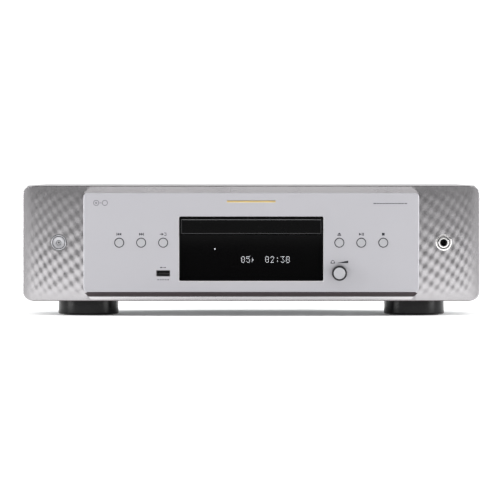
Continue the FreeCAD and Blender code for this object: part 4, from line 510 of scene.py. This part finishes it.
low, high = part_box("power_key")
middle = ((low.x + high.x) / 2, (low.z + high.z) / 2)
power_radius = 7.4 * mm
lamp_hole = 2.5 * mm
dish = low.y + 0.7 * mm
profile = [(lamp_hole, dish + 1 * mm), (lamp_hole, dish + 0.1 * mm), (2.7 * mm, dish), (5.6 * mm, dish),
           (5.75 * mm, dish + 0.1 * mm), (5.8 * mm, dish + 0.5 * mm), (6.3 * mm, dish + 0.5 * mm),
           (6.4 * mm, low.y + 0.15 * mm)]
profile += rounded(power_radius, low.y, 0.7 * mm, 1)
profile += [(power_radius, high.y - key_short), (lamp_hole, high.y - key_short), (lamp_hole, dish + 1 * mm)]
power_cap = add_piece(turned_shape(profile, middle), "power_cap", satin_key, "power_key")
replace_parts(power_cap, "power_key")
groove_in, groove_out = 5.78 * mm, 6.34 * mm
groove_front, groove_back = dish + 0.15 * mm, dish + 0.6 * mm
# The black ring set in the power key's groove is painted shade for that recess.
groove = [(groove_in, groove_back), (groove_in, groove_front), (groove_out, groove_front),
          (groove_out, groove_back), (groove_in, groove_back)]
add_piece(turned_shape(groove, middle), "power_groove_shade", black_and_gap_shade, "power_key")

lamp_glow = grained("lamp_window", (0.28, 0.28, 0.29), 0.0, 0.3, grain=900, depth=0.000001)
lens_in, lens_out = 0.9 * mm, 2.1 * mm
lamp_back = dish + 2 * mm
profile = [(lens_in, dish + 0.6 * mm), (lens_in, dish + 0.05 * mm), (1.1 * mm, dish), (1.9 * mm, dish),
           (lens_out, dish + 0.1 * mm), (lens_out, lamp_back), (lens_in, lamp_back),
           (lens_in, dish + 0.6 * mm)]
lens = add_piece(turned_shape(profile, middle), "power_lens", lamp_glow, "power_key")
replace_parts(lens, "power_lamp")
core_radius = 0.88 * mm
core = [(0, dish + 0.35 * mm), (core_radius, dish + 0.35 * mm), (core_radius, lamp_back), (0, lamp_back)]
add_piece(turned_shape(core, middle), "power_lens_core", black_and_gap_shade, "power_key")
seat_in, seat_out = 2.12 * mm, 2.48 * mm
seat_front = dish + 0.4 * mm
seat = [(seat_in, seat_front), (seat_out, seat_front), (seat_out, lamp_back), (seat_in, lamp_back),
        (seat_in, seat_front)]
add_piece(turned_shape(seat, middle), "power_lens_seat", black_and_gap_shade, "power_key")

low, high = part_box("level_knob")
middle = ((low.x + high.x) / 2, (low.z + high.z) / 2)
# The skirt is dark partly in its own colour and partly as painted shade. Its dark ring is widened, with the
# face kept small, to stand for the shadowed gap round the knob.
skirt_dark_and_shade = grained("dark_skirt_and_gap_shade", (0.010, 0.010, 0.012), 0.0, 0.3, grain=1500, depth=0.000002,
                     specular=0.35)
skirt_radius = 7.25 * mm
skirt_bore = 5.4 * mm
skirt_front = low.y + 0.35 * mm
profile = [(skirt_bore, skirt_front)] + rounded(skirt_radius, skirt_front, 0.6 * mm, 1)
profile += [(skirt_radius, high.y), (skirt_bore, high.y), (skirt_bore, skirt_front)]
skirt = add_piece(turned_shape(profile, middle), "knob_skirt", skirt_dark_and_shade, "knob")
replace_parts(skirt, "level_knob")
cap_radius = 5.55 * mm
cap_dish = low.y + 0.12 * mm
profile = [(0, cap_dish), (4.3 * mm, cap_dish), (4.6 * mm, cap_dish)]
profile += rounded(cap_radius, low.y, 0.4 * mm, 1)
profile += [(cap_radius, high.y - 1 * mm), (0, high.y - 1 * mm)]
add_piece(turned_shape(profile, middle), "knob_face", satin_key, "knob")


# Front sockets. The headphone socket is a bright threaded bush inside a bright ring; the USB socket
# is a folded steel shell with a black tongue.

bright = grained("bright_ring", (0.86, 0.85, 0.84), 1.0, 0.16, grain=1200, depth=0.000001, spread=0.03)
ring_low, ring_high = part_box("headphone_ring")
middle = ((ring_low.x + ring_high.x) / 2, (ring_low.z + ring_high.z) / 2)
front = ring_low.y
ring_outside = 7.75 * mm
ring_inside = 6.3 * mm
ring_back = front + 1.6 * mm
profile = [(ring_inside, ring_back), (ring_inside, front + 0.3 * mm), (ring_inside + 0.3 * mm, front)]
profile += rounded(ring_outside, front, 0.5 * mm, 1)
profile += [(ring_outside, ring_back), (ring_inside, ring_back)]
jack_ring = add_piece(turned_shape(profile, middle), "jack_ring", bright, "cabinet")
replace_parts(jack_ring, "headphone_ring")
socket_black = grained("socket_black", (0.015, 0.015, 0.016), 0.0, 0.4, grain=1600, depth=0.00001)
smooth_copy("headphone_socket", socket_black)
bush_bore = 3.2 * mm
bush_radius = 5.2 * mm
bush_back = front + 4 * mm
profile = [(bush_bore, bush_back), (bush_bore, front + 0.5 * mm), (3.6 * mm, front + 0.1 * mm)]
profile += rounded(bush_radius, front + 0.05 * mm, 0.5 * mm, 1)
profile += [(bush_radius, bush_back), (bush_bore, bush_back)]
add_piece(turned_shape(profile, middle), "jack_bush", bright, "cabinet")
socket_steel = grained("socket_steel", (0.10, 0.10, 0.10), 1.0, 0.35, grain=1500, depth=0.000003)
smooth_copy("usb_shell", socket_steel)
tongue_black = grained("tongue_black", (0.006, 0.006, 0.006), 0.0, 0.5, grain=1600, depth=0.00001,
                       specular=0.1)
smooth_copy("usb_tongue", tongue_black)


# Case. The top cover is one folded sheet, lacquered silver; chassis and rear panel are folded steel,
# the rear panel lacquered black.

cover_lacquer = grained("cover_lacquer", (0.52, 0.52, 0.53), 0.85, 0.38, grain=1500, depth=0.00002,
                        spread=0.04)
smooth_copy("top_cover", cover_lacquer)
zinc = grained("zinc_steel", (0.58, 0.59, 0.60), 1.0, 0.38, grain=220, depth=0.00001, tint=0.1)
smooth_copy("bottom_chassis", zinc)
black_sheet = grained("black_sheet", (0.018, 0.018, 0.019), 0.1, 0.48, grain=2200, depth=0.00002)
smooth_copy("rear_panel", black_sheet)


# Feet. Four hollow mouldings in black with a soft shine, each with a ring of rubber let into its
# underside and one screw up through its middle.

foot_gloss = grained("foot_black", (0.0025, 0.0025, 0.003), 0.0, 0.22, grain=1200, depth=0.000002,
                     spread=0.02, specular=0.2)
feet_low, feet_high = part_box("feet")
base, top = feet_low.z, feet_high.z
foot_radius = 29.5 * mm
well_radius = 9 * mm
well_top = top - 5 * mm
screw_hole = 1.5 * mm
pad_inside, pad_outside = 12 * mm, 24 * mm
pad_seat = base + 0.8 * mm
front_x = 159 * mm
rear_x = feet_high.x - foot_radius
centres = [(x, feet_low.y + foot_radius) for x in (-front_x, front_x)]
centres += [(x, feet_high.y - foot_radius) for x in (-rear_x, rear_x)]
all_feet = bmesh.new()
for x, y in centres:
    profile = [(well_radius, well_top), (well_radius, base), (pad_inside, base), (pad_inside, pad_seat)]
    profile += [(pad_outside, pad_seat), (pad_outside, base)]
    profile += rounded(foot_radius, base, 1.6 * mm, 1, steps=8)
    profile += [(foot_radius - 0.5 * mm, top - 0.4 * mm), (foot_radius - 0.9 * mm, top), (screw_hole, top),
                (screw_hole, well_top), (well_radius, well_top)]
    points = [all_feet.verts.new((x + radius, y, z)) for radius, z in profile[:-1]]
    edges = [all_feet.edges.new(pair) for pair in zip(points, points[1:] + points[:1])]
    bmesh.ops.spin(all_feet, geom=points + edges, cent=(x, y, 0), axis=(0, 0, 1), angle=math.tau,
                   steps=128, use_merge=True)
bmesh.ops.recalc_face_normals(all_feet, faces=all_feet.faces)
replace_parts(add_piece(all_feet, "foot_mouldings", foot_gloss, "cabinet"), "feet")
pad_rubber = grained("pad_rubber", (0.03, 0.03, 0.03), 0.0, 0.8, grain=1500, depth=0.00005)
smooth_copy("foot_pads", pad_rubber)


# Rear sockets. Phono sockets are gilt sleeves in black holders. The remote and optical sockets and
# the mains inlet are black mouldings, pushed through the rear panel.

plated = grained("plated_sleeve", (0.78, 0.60, 0.28), 1.0, 0.22, grain=1400, depth=0.000002)
smooth_copy("phono_sleeves", plated)
for name in ("phono_holders", "remote_sockets", "optical_socket", "optical_flap", "mains_inlet"):
    smooth_copy(name, socket_black)


# Screws. Blackened steel screws hold the cover to the case at its sides, and one goes up through
# the middle of each foot.

screw_steel = grained("screw_steel", (0.10, 0.10, 0.10), 0.9, 0.35, grain=900, depth=0.000004)
for name in ("cover_screws", "foot_screws"):
    smooth_copy(name, screw_steel)


# Drawer mechanism. A black moulded frame stands on two bent brackets through rubber dampers. A motor
# turns acetal gears through a belt to move the tray, and the cam plate lifts the reading unit.

smooth_copy("loader_frame", moulded_black)
smooth_copy("loader_brackets", zinc)
smooth_copy("loader_dampers", pad_rubber)
motor_can = grained("motor_can", (0.55, 0.55, 0.56), 1.0, 0.3, grain=500, depth=0.000003)
smooth_copy("loading_motor", motor_can)
brass = grained("turned_brass", (0.7, 0.55, 0.25), 1.0, 0.3, grain=1200, depth=0.000003)
smooth_copy("motor_pulley", brass)
belt_rubber = grained("belt_rubber", (0.015, 0.015, 0.015), 0.0, 0.7, grain=1500, depth=0.00003)
smooth_copy("drive_belt", belt_rubber)
acetal = grained("acetal", (0.80, 0.80, 0.76), 0.0, 0.35, grain=700, depth=0.000005)
for name in ("pulley_gear", "drive_gear", "cam_slider"):
    smooth_copy(name, acetal)
smooth_copy("clamp_bridge", zinc)
smooth_copy("disc_clamp", moulded_black)


# Reading unit. A black moulded base that tilts, with the spindle motor and its platter, and a
# die-cast sled that a small motor moves along two polished rails.

smooth_copy("traverse_base", moulded_black)
smooth_copy("spindle_motor", motor_can)
smooth_copy("spindle_platter", moulded_black)
polished = grained("polished_steel", (0.7, 0.7, 0.7), 1.0, 0.12, grain=900, depth=0.000001)
smooth_copy("sled_rails", polished)
die_cast = grained("die_cast", (0.5, 0.5, 0.5), 0.9, 0.5, grain=800, depth=0.00003)
smooth_copy("pickup_sled", die_cast)
lens_glass = grained("lens_glass", (0.08, 0.1, 0.2), 0.2, 0.08, grain=300, depth=0.000001)
smooth_copy("pickup_lens", lens_glass)
smooth_copy("sled_gear", acetal)
smooth_copy("sled_motor", motor_can)


# Boards behind the front. Green boards carry the display's cell, the keys' switches and the level
# control, whose steel shaft comes forward into the knob.

resist = grained("green_resist", (0.01, 0.10, 0.035), 0.0, 0.35, grain=350, depth=0.00003, tint=0.4)
smooth_copy("front_boards", resist)
smooth_copy("display_cell", window_black)
smooth_copy("key_switches", moulded_black)
smooth_copy("level_control", zinc)
smooth_copy("level_shaft", polished)


# Power supply and main board. Two green boards on the floor of the case, with capacitors in dark
# sleeves, a black finned heatsink, and a transformer of steel laminations.

smooth_copy("power_supply_board", resist)
smooth_copy("main_board", resist)
sleeve = grained("capacitor_sleeve", (0.02, 0.02, 0.06), 0.0, 0.3, grain=900, depth=0.000005)
smooth_copy("capacitors", sleeve)
black_fins = grained("black_fins", (0.03, 0.03, 0.03), 0.8, 0.5, grain=900, depth=0.00001)
smooth_copy("heatsink", black_fins)
laminations = grained("laminations", (0.20, 0.18, 0.16), 0.6, 0.5, grain=300, depth=0.00005,
                      stretch=(1, 1, 8))
smooth_copy("transformer", laminations)


# Studio. A pale floor, a large soft light overhead, two upright strips for the feet's highlights,
# and the camera a long way off, a little above the top of the case. The floor glows, but its glow
# drops in a soft ellipse under the front of the case: a painted contact shadow.

floor_white = bpy.data.materials.new("studio_floor")
floor_white.use_nodes = True
floor_shader = floor_white.node_tree.nodes["Principled BSDF"]
floor_shader.inputs["Base Color"].default_value = (0.92, 0.92, 0.92, 1)
floor_shader.inputs["Roughness"].default_value = 0.9
floor_shader.inputs["Specular IOR Level"].default_value = 0.1
floor_shader.inputs["Emission Color"].default_value = (1, 1, 1, 1)
floor_nodes = floor_white.node_tree.nodes
floor_links = floor_white.node_tree.links
spot = floor_nodes.new("ShaderNodeTexCoord")
stretch = floor_nodes.new("ShaderNodeMapping")
stretch.inputs["Location"].default_value = (0, 0.8, 0)
stretch.inputs["Scale"].default_value = (3.8, 8, 1)
floor_links.new(spot.outputs["Object"], stretch.inputs["Vector"])
away = floor_nodes.new("ShaderNodeVectorMath")
away.operation = "LENGTH"
floor_links.new(stretch.outputs["Vector"], away.inputs[0])
# Painted shadow: the floor's glow falls to a low value inside an ellipse under the front of the case.
painted_contact_shadow = floor_nodes.new("ShaderNodeMapRange")
painted_contact_shadow.interpolation_type = "SMOOTHSTEP"
painted_contact_shadow.inputs["From Min"].default_value = 0.6
painted_contact_shadow.inputs["From Max"].default_value = 1.25
painted_contact_shadow.inputs["To Min"].default_value = 0.08
painted_contact_shadow.inputs["To Max"].default_value = 1.0
floor_links.new(away.outputs["Value"], painted_contact_shadow.inputs["Value"])
floor_links.new(painted_contact_shadow.outputs["Result"], floor_shader.inputs["Emission Strength"])
ground = bmesh.new()
bmesh.ops.create_grid(ground, x_segments=1, y_segments=1, size=12.0)
ground_mesh = bpy.data.meshes.new("studio_floor")
ground.to_mesh(ground_mesh)
ground.free()
ground_mesh.materials.append(floor_white)
floor = bpy.data.objects.new("studio_floor", ground_mesh)
bpy.context.scene.collection.objects.link(floor)


def soft_light(name, place, target, width, height, power):
    lamp = bpy.data.lights.new(name, "AREA")
    lamp.shape = "RECTANGLE"
    lamp.size = width
    lamp.size_y = height
    lamp.energy = power
    thing = bpy.data.objects.new(name, lamp)
    thing.location = place
    aim = Vector(target) - Vector(place)
    thing.rotation_euler = aim.to_track_quat("-Z", "Y").to_euler()
    bpy.context.scene.collection.objects.link(thing)


soft_light("overhead", (0, -0.38, 0.58), (0, -0.34, 0), 1.5, 0.34, 4.2)
soft_light("left_strip", (-1.5, -0.62, 0.3), (0, -0.15, 0.06), 0.6, 0.9, 16)
soft_light("right_strip", (1.5, -0.62, 0.3), (0, -0.15, 0.06), 0.6, 0.9, 16)

world = bpy.data.worlds.new("studio")
world.use_nodes = True
bpy.context.scene.world = world
tree = world.node_tree
backdrop = tree.nodes["Background"]
backdrop.inputs["Color"].default_value = (1, 1, 1, 1)
seen = tree.nodes.new("ShaderNodeLightPath")
strength = tree.nodes.new("ShaderNodeMapRange")
strength.inputs["To Max"].default_value = 1.1
towards = tree.nodes.new("ShaderNodeTexCoord")
split = tree.nodes.new("ShaderNodeSeparateXYZ")
tree.links.new(towards.outputs["Generated"], split.inputs["Vector"])
behind = tree.nodes.new("ShaderNodeMapRange")
behind.interpolation_type = "SMOOTHSTEP"
behind.inputs["From Min"].default_value = 0.1
behind.inputs["From Max"].default_value = 0.8
behind.inputs["To Min"].default_value = 0.12
behind.inputs["To Max"].default_value = 0.9
tree.links.new(split.outputs["Y"], behind.inputs["Value"])
tree.links.new(behind.outputs["Result"], strength.inputs["To Min"])
tree.links.new(seen.outputs["Is Camera Ray"], strength.inputs["Value"])
tree.links.new(strength.outputs["Result"], backdrop.inputs["Strength"])

camera = bpy.data.cameras.new("camera")
camera.sensor_width = 36
camera.lens = 298
camera.clip_end = 60
eye = bpy.data.objects.new("camera", camera)
eye.location = (-0.0012, wing_face - 4.0, 0.142)
eye.rotation_euler = (math.radians(90 - 1.12), 0, 0)
bpy.context.scene.collection.objects.link(eye)
bpy.context.scene.camera = eye
bpy.context.scene.view_settings.view_transform = "Standard"
